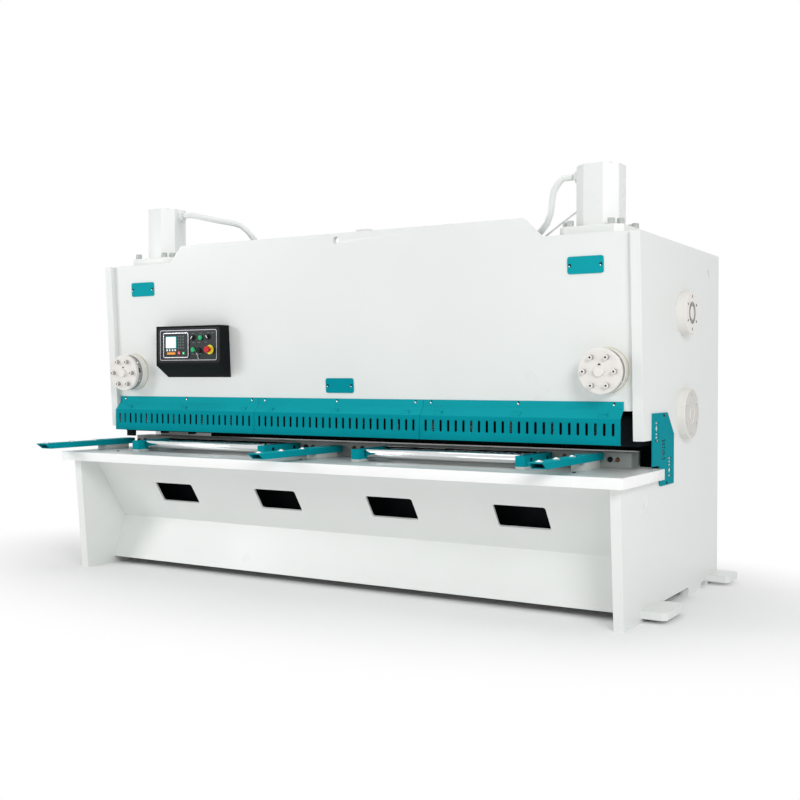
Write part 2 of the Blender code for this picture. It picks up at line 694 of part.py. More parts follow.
def guard(name, index):
    """One bent sheet segment with a row of upright slots."""
    left = -(INNER_X - GUARD_LEFT_INSET)
    segment = (INNER_X - GUARD_RIGHT_INSET - left) / 3.0
    x_low = left + index * segment + GUARD_JOINT / 2.0
    x_high = x_low + segment - GUARD_JOINT
    bm = bmesh.new()
    shift = GAP + 0.0002
    verts = [bm.verts.new((x_low, y - shift, z)) for y, z in guard_profile()]
    edges = [bm.edges.new(pair) for pair in zip(verts, verts[1:])]
    grown = bmesh.ops.extrude_edge_only(bm, edges=edges)["geom"]
    moved = [item for item in grown if isinstance(item, bmesh.types.BMVert)]
    bmesh.ops.translate(bm, vec=(x_high - x_low, 0, 0), verts=moved)
    bmesh.ops.recalc_face_normals(bm, faces=bm.faces)
    if sum(face.normal.y * face.calc_area() for face in bm.faces) > 0:
        bmesh.ops.reverse_faces(bm, faces=bm.faces)
    mesh = bpy.data.meshes.new(name)
    bm.to_mesh(mesh)
    bm.free()
    sheet = add_part(name, mesh, "teal enamel")
    solid = sheet.modifiers.new("sheet", "SOLIDIFY")
    solid.thickness = GUARD_SHEET
    solid.offset = 1.0
    solid.use_even_offset = True
    first = x_low + SLOT_END_MARGIN
    pitch = (x_high - x_low - 2.0 * SLOT_END_MARGIN) / (SLOTS_PER_SEGMENT - 1)
    boolean(sheet, slot_cutter(name + "_slots", first, pitch))
    return sheet


def hold_down():
    """Black pressure beam with a row of round feet over the bed block."""
    half = INNER_X - GAP
    outline = [(HOLD_FRONT, HOLD_BOTTOM), (HOLD_BACK, HOLD_BOTTOM), (HOLD_BACK, HOLD_TOP)]
    outline += arc((HOLD_FRONT + HOLD_RADIUS, HOLD_TOP - HOLD_RADIUS), HOLD_RADIUS, 90, 180, 4)
    beam = add_part("hold_down_beam", profile_along_x("hold_down_beam", outline, -half, half),
                    "black enamel")
    bm = bmesh.new()
    reach = INNER_X - HOLD_FOOT_END_MARGIN
    foot_y = HOLD_BACK - HOLD_FOOT_SETBACK
    for index in range(HOLD_FOOT_COUNT):
        x = -reach + 2.0 * reach * index / (HOLD_FOOT_COUNT - 1)
        join_cylinder(bm, (x, foot_y, HOLD_BOTTOM + 0.02), (x, foot_y, BED_TOP + HOLD_FOOT_CLEARANCE),
                      HOLD_FOOT_RADIUS, 12)
    boolean(beam, add_cutter("hold_down_feet", mesh_from("feet", bm)), "UNION")
    return beam


def ram():
    """Ram beam of a web with two shelves and ribs, cut to the rake, with the upper blade."""
    low = RAM_BOTTOM_LEFT - 0.02
    shelf = RAM_SHELF_THICKNESS
    web = [(RAM_WEB_FRONT, low), (RAM_WEB_BACK, low), (RAM_WEB_BACK, RAM_TOP),
           (RAM_SHELF_FRONT, RAM_TOP), (RAM_SHELF_FRONT, RAM_TOP - shelf), (RAM_WEB_FRONT, RAM_TOP - shelf),
           (RAM_WEB_FRONT, RAM_LOWER_SHELF_Z + shelf), (RAM_SHELF_FRONT, RAM_LOWER_SHELF_Z + shelf),
           (RAM_SHELF_FRONT, RAM_LOWER_SHELF_Z), (RAM_WEB_FRONT, RAM_LOWER_SHELF_Z)]
    mesh = profile_along_x("ram_beam", web, -RAM_HALF_LENGTH, RAM_HALF_LENGTH)
    bm = bmesh.new()
    bm.from_mesh(mesh)
    normal = Vector((math.sin(math.radians(RAKE_DEG)), 0, -math.cos(math.radians(RAKE_DEG))))
    cut = bmesh.ops.bisect_plane(
        bm, geom=bm.verts[:] + bm.edges[:] + bm.faces[:], clear_outer=True,
        plane_co=(-RAM_HALF_LENGTH, 0, RAM_BOTTOM_LEFT), plane_no=normal)
    rim = [item for item in cut["geom_cut"] if isinstance(item, bmesh.types.BMEdge)]
    bmesh.ops.contextual_create(bm, geom=rim)
    bmesh.ops.recalc_face_normals(bm, faces=bm.faces)
    bm.to_mesh(mesh)
    bm.free()
    beam = add_part("ram_beam", mesh, "black enamel")
    for index in range(RAM_RIB_COUNT):
        span = RAM_HALF_LENGTH - RAM_RIB_THICKNESS
        x = -span + 2.0 * span * index / (RAM_RIB_COUNT - 1)
        rib = box_mesh("rib", (x - RAM_RIB_THICKNESS / 2, RAM_SHELF_FRONT + 0.01, RAM_LOWER_SHELF_Z + 0.01),
                       (x + RAM_RIB_THICKNESS / 2, RAM_WEB_FRONT + 0.01, RAM_TOP - 0.01))
        boolean(beam, add_cutter("ram_rib_" + str(index + 1), rib), "UNION")
    tilt = math.tan(math.radians(RAKE_DEG))
    bm = bmesh.new()
    join_box(bm, (BED_LEFT, BED_BACK + BLADE_CLEARANCE, UPPER_BLADE_LOW),
             (BED_RIGHT, RAM_WEB_FRONT - GAP, UPPER_BLADE_LOW + UPPER_BLADE_HEIGHT))
    for vert in bm.verts:
        vert.co.z += (vert.co.x + RAM_HALF_LENGTH) * tilt
    add_part("upper_blade", mesh_from("upper_blade", bm), "blade steel")


def piston_rods():
    for name, side in (("piston_rod_left", -1), ("piston_rod_right", 1)):
        x = side * CYLINDER_X
        mesh = cylinder_mesh(name, (x, CYLINDER_Y, RAM_TOP + GAP),
                             (x, CYLINDER_Y, CYLINDER_TOP - ROD_DROP), ROD_RADIUS)
        add_part(name, mesh, "chrome", smooth=True)


def octagon(side, chamfer):
    a, b = side / 2.0, side / 2.0 - chamfer
    return [(a, b), (b, a), (-b, a), (-a, b), (-a, -b), (-b, -a), (b, -a), (a, -b)]


def cylinders():
    """Mounting plates across the corners, and the chamfered cylinder castings on them."""
    hole_radius = ROD_RADIUS + ROD_CLEARANCE
    for word, side in (("left", -1), ("right", 1)):
        x = side * CYLINDER_X
        plate_low = PLATE_TOP - MOUNT_PLATE_THICKNESS
        inner, outer = sorted((side * (CYLINDER_X - MOUNT_PLATE_REACH), side * (INNER_X - GAP)))
        front = panel_y(plate_low) + PANEL_THICKNESS + 0.001
        plate = add_part("cylinder_mount_" + word, box_mesh(
            "mount", (inner, front, plate_low), (outer, CYLINDER_Y + MOUNT_PLATE_DEPTH, PLATE_TOP)),
            "white enamel")
        hole = cylinder_mesh("hole", (x, CYLINDER_Y, plate_low - 0.01), (x, CYLINDER_Y, PLATE_TOP + 0.01),
                             hole_radius)
        boolean(plate, add_cutter("mount_hole_" + word, hole))
        base = PLATE_TOP + GAP
        body = add_part("cylinder_" + word, outline_mesh(
            "flange", octagon(FLANGE_SIDE, FLANGE_CHAMFER), FLANGE_THICKNESS,
            Matrix.Translation((x, CYLINDER_Y, base + FLANGE_THICKNESS / 2.0))), "white enamel")
        low = base + FLANGE_THICKNESS / 2.0
        barrel = outline_mesh("barrel", octagon(CYLINDER_WIDTH, CYLINDER_CHAMFER), CYLINDER_TOP - low,
                              Matrix.Translation((x, CYLINDER_Y, (low + CYLINDER_TOP) / 2.0)))
        boolean(body, add_cutter("barrel_" + word, barrel), "UNION")
        bm = bmesh.new()
        face_x = x - side * CYLINDER_WIDTH / 2.0
        nut_end = face_x - side * PORT_NUT_LENGTH
        join_cylinder(bm, (face_x + side * 0.01, CYLINDER_Y, PORT_Z), (nut_end, CYLINDER_Y, PORT_Z),
                      PORT_NUT_RADIUS, 6)
        join_cylinder(bm, (nut_end + side * 0.005, CYLINDER_Y, PORT_Z),
                      (face_x - side * PORT_LENGTH, CYLINDER_Y, PORT_Z), PORT_COLLAR_RADIUS, 16)
        boolean(body, add_cutter("cylinder_port_" + word, mesh_from("port", bm)), "UNION")
        bore = cylinder_mesh("bore", (x, CYLINDER_Y, base - 0.01), (x, CYLINDER_Y, CYLINDER_TOP - BORE_DROP),
                             hole_radius)
        boolean(body, add_cutter("cylinder_bore_" + word, bore))


def smooth_path(points, step):
    """Catmull-Rom points through the route, about one every step metres.

    The first and last runs stay straight, so that the pipe's ends face their ports squarely.
    """
    guide = [Vector(p) for p in points]
    path = [guide[0]]
    for a, b, c, d in zip(guide, guide[1:], guide[2:], guide[3:]):
        count = max(2, round((c - b).length / step))
        for i in range(count):
            t = i / count
            path.append(0.5 * ((2 * b) + (c - a) * t + (2 * a - 5 * b + 4 * c - d) * t ** 2
                               + (3 * b - a - 3 * c + d) * t ** 3))
    path += guide[-2:]
    return path


def pipe(name, route):
    curve = bpy.data.curves.new(name, "CURVE")
    curve.dimensions = "3D"
    curve.bevel_depth = PIPE_RADIUS
    curve.bevel_resolution = 2
    curve.render_resolution_u = 0
    curve.use_fill_caps = True
    path = smooth_path(route, 0.06)
    spline = curve.splines.new("POLY")
    spline.points.add(len(path) - 1)
    for point, place in zip(spline.points, path):
        point.co = (*place, 1.0)
    tube = bpy.data.objects.new(name, curve)
    curve.materials.append(material_for(name, "white enamel"))
    tube.parent = ORIGIN
    PARTS.objects.link(tube)
    return tube


def pipes():
    valve_z = LID_TOP + VALVE_PORT_LIFT
    reach = VALVE_SIZE[0] / 2.0 + GAP
    for name, side, outward, inward in (("pipe_left", -1, LEFT_FROM_PORT, LEFT_TO_VALVE),
                                        ("pipe_right", 1, RIGHT_FROM_PORT, RIGHT_TO_VALVE)):
        port = Vector((side * PORT_X, CYLINDER_Y, PORT_Z))
        valve = Vector((VALVE_X + side * reach, VALVE_Y, valve_z))
        route = [port] + [port + Vector(step) for step in outward]
        route += [valve + Vector((dx, dy, 0.0)) for dx, dy in inward]
        pipe(name, route)


def motor_outline():
    """Cross-section of the finned motor housing, fins all round."""
    step = 2.0 * math.pi / MOTOR_FIN_COUNT
    points = []
    for index in range(MOTOR_FIN_COUNT):
        for share, radius in ((0.0, MOTOR_RADIUS - MOTOR_FIN_DEPTH), (0.55, MOTOR_RADIUS - MOTOR_FIN_DEPTH),
                              (0.62, MOTOR_RADIUS), (0.93, MOTOR_RADIUS)):
            angle = (index + share) * step
            points.append((radius * math.cos(angle), radius * math.sin(angle)))
    return points


def hydraulic_unit():
    half = INNER_X - GAP
    add_part("tank_shelf", box_mesh("tank_shelf", (-half, SHELF_FRONT, SHELF_Z - SHELF_THICKNESS),
                                    (half, SHELF_BACK, SHELF_Z)), "white enamel")
    tank = add_part("oil_tank", box_mesh("oil_tank", (-TANK_HALF_LENGTH, TANK_FRONT, SHELF_Z + GAP),
                                         (TANK_HALF_LENGTH, TANK_BACK, TANK_TOP)), "white enamel")
    rim = TANK_LID_OVERHANG
    lid = box_mesh("lid", (-TANK_HALF_LENGTH - rim, TANK_FRONT - rim, TANK_TOP - GAP),
                   (TANK_HALF_LENGTH + rim, TANK_BACK + rim, LID_TOP))
    boolean(tank, add_cutter("tank_lid", lid), "UNION")
    vx, vy, vz = VALVE_SIZE
    add_part("valve_block", box_mesh("valve_block", (VALVE_X - vx / 2, VALVE_Y - vy / 2, LID_TOP + GAP),
                                     (VALVE_X + vx / 2, VALVE_Y + vy / 2, LID_TOP + vz)), "ground steel")
    centre_z = LID_TOP + MOTOR_LIFT + MOTOR_RADIUS
    place = Matrix.Translation((MOTOR_X, MOTOR_Y, centre_z))
    motor = add_part("pump_motor", outline_mesh("pump_motor", motor_outline(), MOTOR_LENGTH,
                                                place @ ON_YZ), "teal enamel")
    low_x, high_x = MOTOR_X - MOTOR_LENGTH / 2.0, MOTOR_X + MOTOR_LENGTH / 2.0
    cowl = cylinder_mesh("cowl", (low_x - 0.004, MOTOR_Y, centre_z),
                         (low_x + MOTOR_COWL_LENGTH, MOTOR_Y, centre_z), MOTOR_RADIUS + 0.004, 24)
    boolean(motor, add_cutter("motor_cowl", cowl), "UNION")
    end = cylinder_mesh("end shield", (high_x - 0.03, MOTOR_Y, centre_z),
                        (high_x + 0.004, MOTOR_Y, centre_z), MOTOR_RADIUS + 0.002, 24)
    boolean(motor, add_cutter("motor_end_shield", end), "UNION")
    foot_x, foot_y = MOTOR_FOOT
    foot = box_mesh("motor foot", (MOTOR_X - foot_x / 2, MOTOR_Y - foot_y / 2, LID_TOP + GAP),
                    (MOTOR_X + foot_x / 2, MOTOR_Y + foot_y / 2, centre_z - MOTOR_RADIUS * 0.7))
    boolean(motor, add_cutter("motor_foot", foot), "UNION")
    tx, ty, tz = TERMINAL_BOX
    crown = centre_z + MOTOR_RADIUS
    terminal = box_mesh("terminal box", (MOTOR_X - tx / 2, MOTOR_Y - ty / 2, crown - 0.02),
                        (MOTOR_X + tx / 2, MOTOR_Y + ty / 2, crown + tz))
    boolean(motor, add_cutter("motor_terminal_box", terminal), "UNION")


def turned_part(name, profile, finish, location, rotation, steps=32):
    """Solid turned about its own Z axis from (radius, height) points, listed from the top down."""
    bm = bmesh.new()
    verts = [bm.verts.new((radius, 0.0, height)) for radius, height in profile]
    for pair in zip(verts, verts[1:]):
        bm.edges.new(pair)
    mesh = bpy.data.meshes.new(name)
    bm.to_mesh(mesh)
    bm.free()
    part = add_part(name, mesh, finish, location)
    part.rotation_euler = rotation
    screw = part.modifiers.new("turned", "SCREW")
    screw.axis = "Z"
    screw.steps = steps
    screw.render_steps = steps
    screw.use_merge_vertices = True
    screw.merge_threshold = 0.0001
    return part


def guide_caps():
    """Round guide housings: two on the panel, two on each side plate."""
    lean = math.atan(JAW_LEAN)
    low, high = CAP_GROOVE_SPAN
    rim = CAP_RADIUS - 0.001
    neck = CAP_RADIUS - CAP_GROOVE
    boss_top = CAP_DEPTH + CAP_BOSS_DEPTH
    cap_x = HALF_WIDTH - CAP_INSET
    cap_z = PANEL_BOTTOM + CAP_LIFT
    for word, side in (("left", -1), ("right", 1)):
        profile = [(0.0, boss_top), (CAP_BOSS_RADIUS, boss_top), (CAP_BOSS_RADIUS, CAP_DEPTH),
                   (rim - 0.004, CAP_DEPTH), (rim, CAP_DEPTH - 0.004), (rim, high), (neck, high),
                   (neck, low), (CAP_RADIUS, low), (CAP_RADIUS, 0.0), (0.0, 0.0)]
        turned_part("guide_cap_front_" + word, profile, "white enamel",
                    (side * cap_x, panel_y(cap_z) - GAP, cap_z), (math.radians(90.0) + lean, 0.0, 0.0))
    upper = (SIDE_UPPER_Y, PLATE_TOP - SIDE_UPPER_DROP, SIDE_UPPER_RADIUS)
    lower = (THROAT_BACK + SIDE_LOWER_SETBACK, JAW_BOTTOM + SIDE_LOWER_LIFT, SIDE_LOWER_RADIUS)
    depth = SIDE_FLANGE_DEPTH
    for place, (y, z, radius) in (("upper", upper), ("lower", lower)):
        for word, side in (("left", -1), ("right", 1)):
            profile = [(0.0, depth), (radius - 0.004, depth), (radius, depth - 0.004), (radius, 0.0),
                       (0.0, 0.0)]
            turned_part("side_flange_" + place + "_" + word, profile, "white enamel",
                        (side * (HALF_WIDTH + GAP), y, z), (0.0, math.radians(side * 90.0), 0.0))


def cover_plates():
    lean = math.atan(JAW_LEAN)
    shoulder_x = HALF_WIDTH - SHOULDER_PLATE_INSET
    shoulder_z = PANEL_SHOULDER - SHOULDER_PLATE_DROP
    for name, x, z, (width, height) in (
            ("cover_plate_left", -shoulder_x, shoulder_z, SHOULDER_PLATE_SIZE),
            ("cover_plate_right", shoulder_x, shoulder_z, SHOULDER_PLATE_SIZE),
            ("cover_plate_middle", MIDDLE_PLATE_X, GUARD_TOP + MIDDLE_PLATE_LIFT, MIDDLE_PLATE_SIZE)):
        outline = rounded_rectangle(width, height, COVER_RADIUS)
        centre_y = panel_y(z) - GAP - COVER_THICKNESS / 2.0 - 0.0001
        place = Matrix.Translation((x, centre_y, z)) @ Matrix.Rotation(lean, 4, "X") @ ON_XZ
        add_part(name, outline_mesh(name, outline, COVER_THICKNESS, place), "teal enamel")


def on_face(place, reach=0.0):
    """Point on the control box's face, with how far it stands proud of the face."""
    across, down = place
    return Vector((BOX_LEFT + across, BOX_FRONT - reach, BOX_TOP - down))


def face_frame(name, spec):
    """Rounded picture frame that stands on the control box's face."""
    place, (width, height), border, depth = spec
    outer = rounded_rectangle(width, height, FRAME_RADIUS, 3)
    inner = rounded_rectangle(width - 2.0 * border, height - 2.0 * border, FRAME_RADIUS - border / 2.0, 3)
    move = Matrix.Translation(on_face(place, depth / 2.0 - 0.001))
    return outline_mesh(name, outer, depth + 0.002, move @ ON_XZ, (inner,))


def control_box():
    """Box with its frames, controller, buttons, selectors, key switch and stop button."""
    back_gap = 0.0005
    back_bottom = BOX_TOP - BOX_BACK_HEIGHT
    outline = [(BOX_FRONT, BOX_TOP), (BOX_FRONT, BOX_TOP - BOX_FACE_HEIGHT),
               (panel_y(back_bottom) - back_gap, back_bottom), (panel_y(BOX_TOP) - back_gap, BOX_TOP)]
    box = add_part("control_box", profile_along_x("control_box", outline, BOX_LEFT, BOX_RIGHT),
                   "black enamel")
    for name, spec in (("outer_frame", OUTER_FRAME), ("controller_bezel", CONTROLLER_BEZEL)):
        boolean(box, add_cutter(name, face_frame(name, spec)), "UNION")
    bm = bmesh.new()
    for place in BUTTONS:
        join_cylinder(bm, on_face(place, -0.004), on_face(place, BUTTON_DEPTH), BUTTON_RADIUS, CONTROL_STEPS)
    join_cylinder(bm, on_face(KEY_SWITCH, -0.004), on_face(KEY_SWITCH, KEY_SWITCH_DEPTH),
                  BUTTON_RADIUS, CONTROL_STEPS)
    width, height, reach = SELECTOR_HANDLE
    for place in SELECTORS:
        handle = bmesh.ops.create_cube(bm, size=1.0)["verts"]
        turn = Matrix.Rotation(math.radians(SELECTOR_TURN_DEG), 4, "Y")
        size = Matrix.Diagonal((width, reach + 0.004, height, 1.0))
        bmesh.ops.transform(bm, verts=handle, matrix=Matrix.Translation(
            on_face(place, (reach - 0.004) / 2.0)) @ turn @ size)
    join_cylinder(bm, on_face(STOP_PLACE, -0.004), on_face(STOP_PLACE, STOP_REACH - STOP_HEAD_DEPTH / 2.0),
                  STOP_STEM_RADIUS, CONTROL_STEPS)
    boolean(box, add_cutter("control_buttons", mesh_from("buttons", bm)), "UNION")
    bm = bmesh.new()
    for place in SELECTORS:
        join_cylinder(bm, on_face(place, -0.004), on_face(place, BUTTON_DEPTH / 2.0), BUTTON_RADIUS,
                      CONTROL_STEPS)
    join_cylinder(bm, on_face(STOP_PLACE, -0.004), on_face(STOP_PLACE, STOP_PLATE_DEPTH),
                  STOP_PLATE_RADIUS, CONTROL_STEPS)
    join_cylinder(bm, on_face(STOP_PLACE, STOP_REACH - STOP_HEAD_DEPTH), on_face(STOP_PLACE, STOP_REACH),
                  STOP_HEAD_RADIUS, CONTROL_STEPS)
    boolean(box, add_cutter("control_collars", mesh_from("collars", bm)), "UNION")
    (across, down), (wide, tall) = SCREEN
    screen = box_mesh("screen", on_face((across - wide / 2, down + tall / 2), 0.01),
                      on_face((across + wide / 2, down - tall / 2), -SCREEN_DEPTH))
    boolean(box, add_cutter("screen_recess", screen))


def support_arms():
    """Box sections open at a slanted tip, with seats for transfer balls and a foot on the table."""
    rear = BED_FRONT - GAP
    for name, (x, rise, tip) in SUPPORT_ARMS.items():
        half = ARM_WIDTH / 2.0
        top = TABLE_TOP + rise
        bottom = top - ARM_HEIGHT
        step = tip + ARM_RECESS_LENGTH
        lid = top - ARM_RECESS
        outline = [(rear, bottom), (rear, top), (step, top), (step, lid), (tip, lid),
                   (tip + ARM_SLANT, bottom)]
        arm = add_part(name, profile_along_x(name, outline, x - half, x + half), "teal enamel")
        hollow = box_mesh("hollow", (x - half + ARM_WALL, tip - 0.05, bottom + ARM_WALL),
                          (x + half - ARM_WALL, rear - ARM_WALL, lid - ARM_WALL))
        boolean(arm, add_cutter(name + "_hollow", hollow))
        bm = bmesh.new()
        for index in range(BALL_COUNT):
            y = tip + BALL_FIRST + index * BALL_PITCH
            join_cylinder(bm, (x, y, lid - 0.002), (x, y, lid + BALL_SEAT_HEIGHT), BALL_SEAT_RADIUS, 12,
                          BALL_SEAT_RADIUS * 0.8)
        foot_front, foot_back = ARM_FOOT_SPAN
        join_box(bm, (x - ARM_FOOT_WIDTH / 2, BED_FRONT - foot_front, TABLE_TOP + GAP),
                 (x + ARM_FOOT_WIDTH / 2, BED_FRONT - foot_back, bottom + ARM_WALL / 2))
        boolean(arm, add_cutter(name + "_seats", mesh_from("seats", bm)), "UNION")


def roller_bracket(name, wall_x, inward):
    """Bent channel that opens towards the rollers, bored for their axles, with a pad below."""
    rear = BED_FRONT - GAP
    t = BRACKET_SHEET
    wall_in = wall_x + inward * t
    flange = wall_x + inward * BRACKET_FLANGE
    outline = [(wall_x, BRACKET_FRONT), (flange, BRACKET_FRONT), (flange, BRACKET_FRONT + t),
               (wall_in, BRACKET_FRONT + t), (wall_in, rear - t), (flange, rear - t), (flange, rear),
               (wall_x, rear)]
    middle = (BRACKET_TOP + BRACKET_BOTTOM) / 2.0
    bracket = add_part(name, outline_mesh(name, outline, BRACKET_HEIGHT,
                                          Matrix.Translation((0, 0, middle))), "teal enamel")
    low_x, high_x = sorted((wall_x, flange))
    pad = box_mesh("pad", (low_x + 0.001, BRACKET_FRONT + 0.001, TABLE_TOP + GAP),
                   (high_x - 0.001, rear - 0.001, BRACKET_BOTTOM + 0.002))
    boolean(bracket, add_cutter(name + "_pad", pad), "UNION")
    for index, y in enumerate((ROLLER_FRONT_Y, ROLLER_FRONT_Y + ROLLER_SPACING)):
        hole = cylinder_mesh("axle hole", (wall_x - inward * 0.01, y, ROLLER_Z),
                             (wall_in + inward * 0.01, y, ROLLER_Z), AXLE_RADIUS + AXLE_CLEARANCE, 12)
        boolean(bracket, add_cutter(name + "_axle_hole_" + str(index), hole))


def roller_frames():
    number = 0
    for word, left in (("left", LEFT_FRAME_X), ("right", RIGHT_FRAME_X)):
        right = left + FRAME_WIDTH
        roller_bracket("roller_bracket_" + word + "_outer", left, 1)
        roller_bracket("roller_bracket_" + word + "_inner", right, -1)
        half = FRAME_WIDTH / 2.0
        barrel = half - BRACKET_SHEET - ROLLER_END_GAP
        journal = half - BRACKET_SHEET - JOURNAL_GAP
        axle = half - 0.001
        for roller_y in (ROLLER_FRONT_Y, ROLLER_FRONT_Y + ROLLER_SPACING):
            number += 1
            name = "roller_" + str(number)
            profile = [(0.0, axle), (AXLE_RADIUS, axle), (AXLE_RADIUS, journal), (JOURNAL_RADIUS, journal),
                       (JOURNAL_RADIUS, barrel), (ROLLER_RADIUS, barrel)]
            profile += [(radius, -along) for radius, along in reversed(profile)]
            turned_part(name, profile, "chrome", (left + half, roller_y, ROLLER_Z),
                        (0.0, math.radians(90.0), 0.0), 24)


def scale_bracket():
    """Notched sheet bracket with three columns of slots."""
    top, bottom = TABLE_TOP + SCALE_RISE, TABLE_TOP - SCALE_FALL
    back = THROAT_BACK + SCALE_SETBACK
    front = back - SCALE_DEPTH
    slant_y, slant_z = SCALE_SLANT
    notch_back = TABLE_BACK + SCALE_CLEARANCE
    notch_top = TABLE_TOP + SCALE_CLEARANCE
    radius = SCALE_FOOT_RADIUS
    outline = [(front, top), (front, notch_top), (notch_back, notch_top)]
    outline += arc((notch_back + radius, bottom + radius), radius, 180, 270, 4)
    outline += [(back, bottom), (back, top - slant_z), (back - slant_y, top)]
    holes = []
    for column, (lift, slots) in enumerate(SCALE_COLUMNS):
        y = back - SCALE_FIRST_COLUMN + column * SCALE_COLUMN_PITCH
        for drop, kind in slots:
            height = SCALE_SLOT_HEIGHTS[kind]
            holes.append(rounded_rectangle(SCALE_SLOT_WIDTH, height, height / 2.0 - 0.0001, 1,
                                           (y, TABLE_TOP + lift - drop)))
    low = HALF_WIDTH + GAP
    add_part("scale_bracket", profile_along_x("scale_bracket", outline, low, low + SCALE_SHEET, holes),
             "teal enamel")


def channel_outline(low, high, wall):
    """(y, z) outline of a channel that is open to the back."""
    (y0, z0), (y1, z1) = low, high
    return [(y0, z0), (y1, z0), (y1, z0 + wall), (y0 + wall, z0 + wall),
            (y0 + wall, z1 - wall), (y1, z1 - wall), (y1, z1), (y0, z1)]


def rear_parts():
    half = INNER_X - GAP
    beam_front = REAR_BEAM_Y - REAR_BEAM_SIZE / 2
    beam_low = (beam_front, REAR_BEAM_TOP - REAR_BEAM_SIZE)
    beam_high = (REAR_BEAM_Y + REAR_BEAM_SIZE / 2, REAR_BEAM_TOP)
    beam = add_part("rear_beam", profile_along_x(
        "rear_beam", channel_outline(beam_low, beam_high, REAR_BEAM_WALL), -half, half), "white enamel")
    gauge_half = INNER_X - GAUGE_END_MARGIN
    low = (GAUGE_Y, RAIL_TOP + GAP)
    high = (GAUGE_Y + GAUGE_DEPTH, RAIL_TOP + GAUGE_HEIGHT)
    gauge = add_part("back_gauge", profile_along_x(
        "back_gauge", channel_outline(low, high, GAUGE_WALL), -gauge_half, gauge_half), "black enamel")
    nut_x, nut_y, nut_z = NUT_SIZE
    for word, side in (("left", -1), ("right", 1)):
        x = side * RAIL_X
        rail_low = REAR_BEAM_TOP - REAR_BEAM_WALL / 2
        rail = box_mesh("gauge rail", (x - RAIL_WIDTH / 2, BED_BACK + GAP, rail_low),
                        (x + RAIL_WIDTH / 2, REAR_BEAM_Y, RAIL_TOP))
        boolean(beam, add_cutter("gauge_rail_" + word, rail), "UNION")
        x = side * SCREW_X
        screw = cylinder_mesh("gauge screw", (x, BED_BACK + GAP, SCREW_Z),
                              (x, beam_front + REAR_BEAM_WALL / 2, SCREW_Z), SCREW_RADIUS, 16)
        boolean(beam, add_cutter("gauge_screw_" + word, screw), "UNION")
        middle_y = GAUGE_Y + GAUGE_DEPTH / 2
        nut = box_mesh("gauge nut", (x - nut_x / 2, middle_y - nut_y / 2, SCREW_Z - nut_z / 2),
                       (x + nut_x / 2, middle_y + nut_y / 2, RAIL_TOP + GAUGE_WALL / 2))
        boolean(gauge, add_cutter("gauge_nut_" + word, nut), "UNION")
        bore = cylinder_mesh("nut bore", (x, GAUGE_Y - 0.01, SCREW_Z),
                             (x, GAUGE_Y + GAUGE_DEPTH + 0.01, SCREW_Z), SCREW_RADIUS + SCREW_CLEARANCE, 16)
        boolean(gauge, add_cutter("gauge_nut_bore_" + word, bore))
    foot_y, foot_z = CHUTE_FOOT
    top_z = REAR_BEAM_TOP - CHUTE_DROP
    chute = [(CHUTE_TOP_Y, top_z), (foot_y, foot_z), (foot_y, foot_z - CHUTE_SHEET),
             (CHUTE_TOP_Y, top_z - CHUTE_SHEET)]
    add_part("offcut_chute", profile_along_x("offcut_chute", chute, -half, half), "white enamel")


def main():
    side_plate("side_plate_left", -1)
    side_plate("side_plate_right", 1)
    front_panel()
    apron()
    table()
    bed()
    for index, word in enumerate(("left", "middle", "right")):
        guard("guard_" + word, index)
    hold_down()
    ram()
    piston_rods()
    cylinders()
    pipes()
    hydraulic_unit()
    guide_caps()
    cover_plates()
    control_box()
    support_arms()
    roller_frames()
    scale_bracket()
    rear_parts()


main()
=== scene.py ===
import json
import math

import bmesh
import bpy
from mathutils import Matrix, Vector


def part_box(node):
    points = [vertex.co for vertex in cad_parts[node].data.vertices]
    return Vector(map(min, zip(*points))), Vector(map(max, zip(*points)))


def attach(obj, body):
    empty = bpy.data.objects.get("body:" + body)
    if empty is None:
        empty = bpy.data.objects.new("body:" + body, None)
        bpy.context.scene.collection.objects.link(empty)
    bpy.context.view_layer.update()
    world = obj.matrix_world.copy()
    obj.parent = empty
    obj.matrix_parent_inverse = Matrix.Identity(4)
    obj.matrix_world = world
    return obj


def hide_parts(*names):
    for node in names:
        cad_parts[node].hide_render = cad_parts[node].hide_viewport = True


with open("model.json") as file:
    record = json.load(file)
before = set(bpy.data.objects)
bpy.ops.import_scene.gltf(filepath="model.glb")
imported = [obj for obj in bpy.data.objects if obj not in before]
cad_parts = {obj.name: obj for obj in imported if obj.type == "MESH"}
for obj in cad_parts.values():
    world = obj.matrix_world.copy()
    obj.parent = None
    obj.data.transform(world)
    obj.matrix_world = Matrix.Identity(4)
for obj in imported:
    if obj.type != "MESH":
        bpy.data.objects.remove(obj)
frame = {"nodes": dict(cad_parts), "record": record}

bl_info = {
    "name": "Guillotine Shear Finish",
    "version": (1, 0, 0),
    "blender": (4, 5, 0),
    "location": "View3D > Sidebar > Shear",
    "description": "Paint, fasteners, controls and studio for a hydraulic guillotine shear",
    "category": "Object",
}

NODES = frame["nodes"]
BODY_OF = {name: body for body, names in frame["record"]["behaviour"]["bodies"].items() for name in names}


def linear(code):
    """An sRGB hex colour as linear RGB."""
    parts = [int(code[i:i + 2], 16) / 255.0 for i in (0, 2, 4)]
    return tuple(c / 12.92 if c <= 0.04045 else ((c + 0.055) / 1.055) ** 2.4 for c in parts)


def colour_property(name, description, code):
    return bpy.props.FloatVectorProperty(
        name=name, description=description, subtype="COLOR", size=3, min=0.0, max=1.0, default=linear(code))


def length_property(name, description, metres):
    return bpy.props.FloatProperty(
        name=name, description=description, default=metres, min=0.0, subtype="DISTANCE", unit="LENGTH")


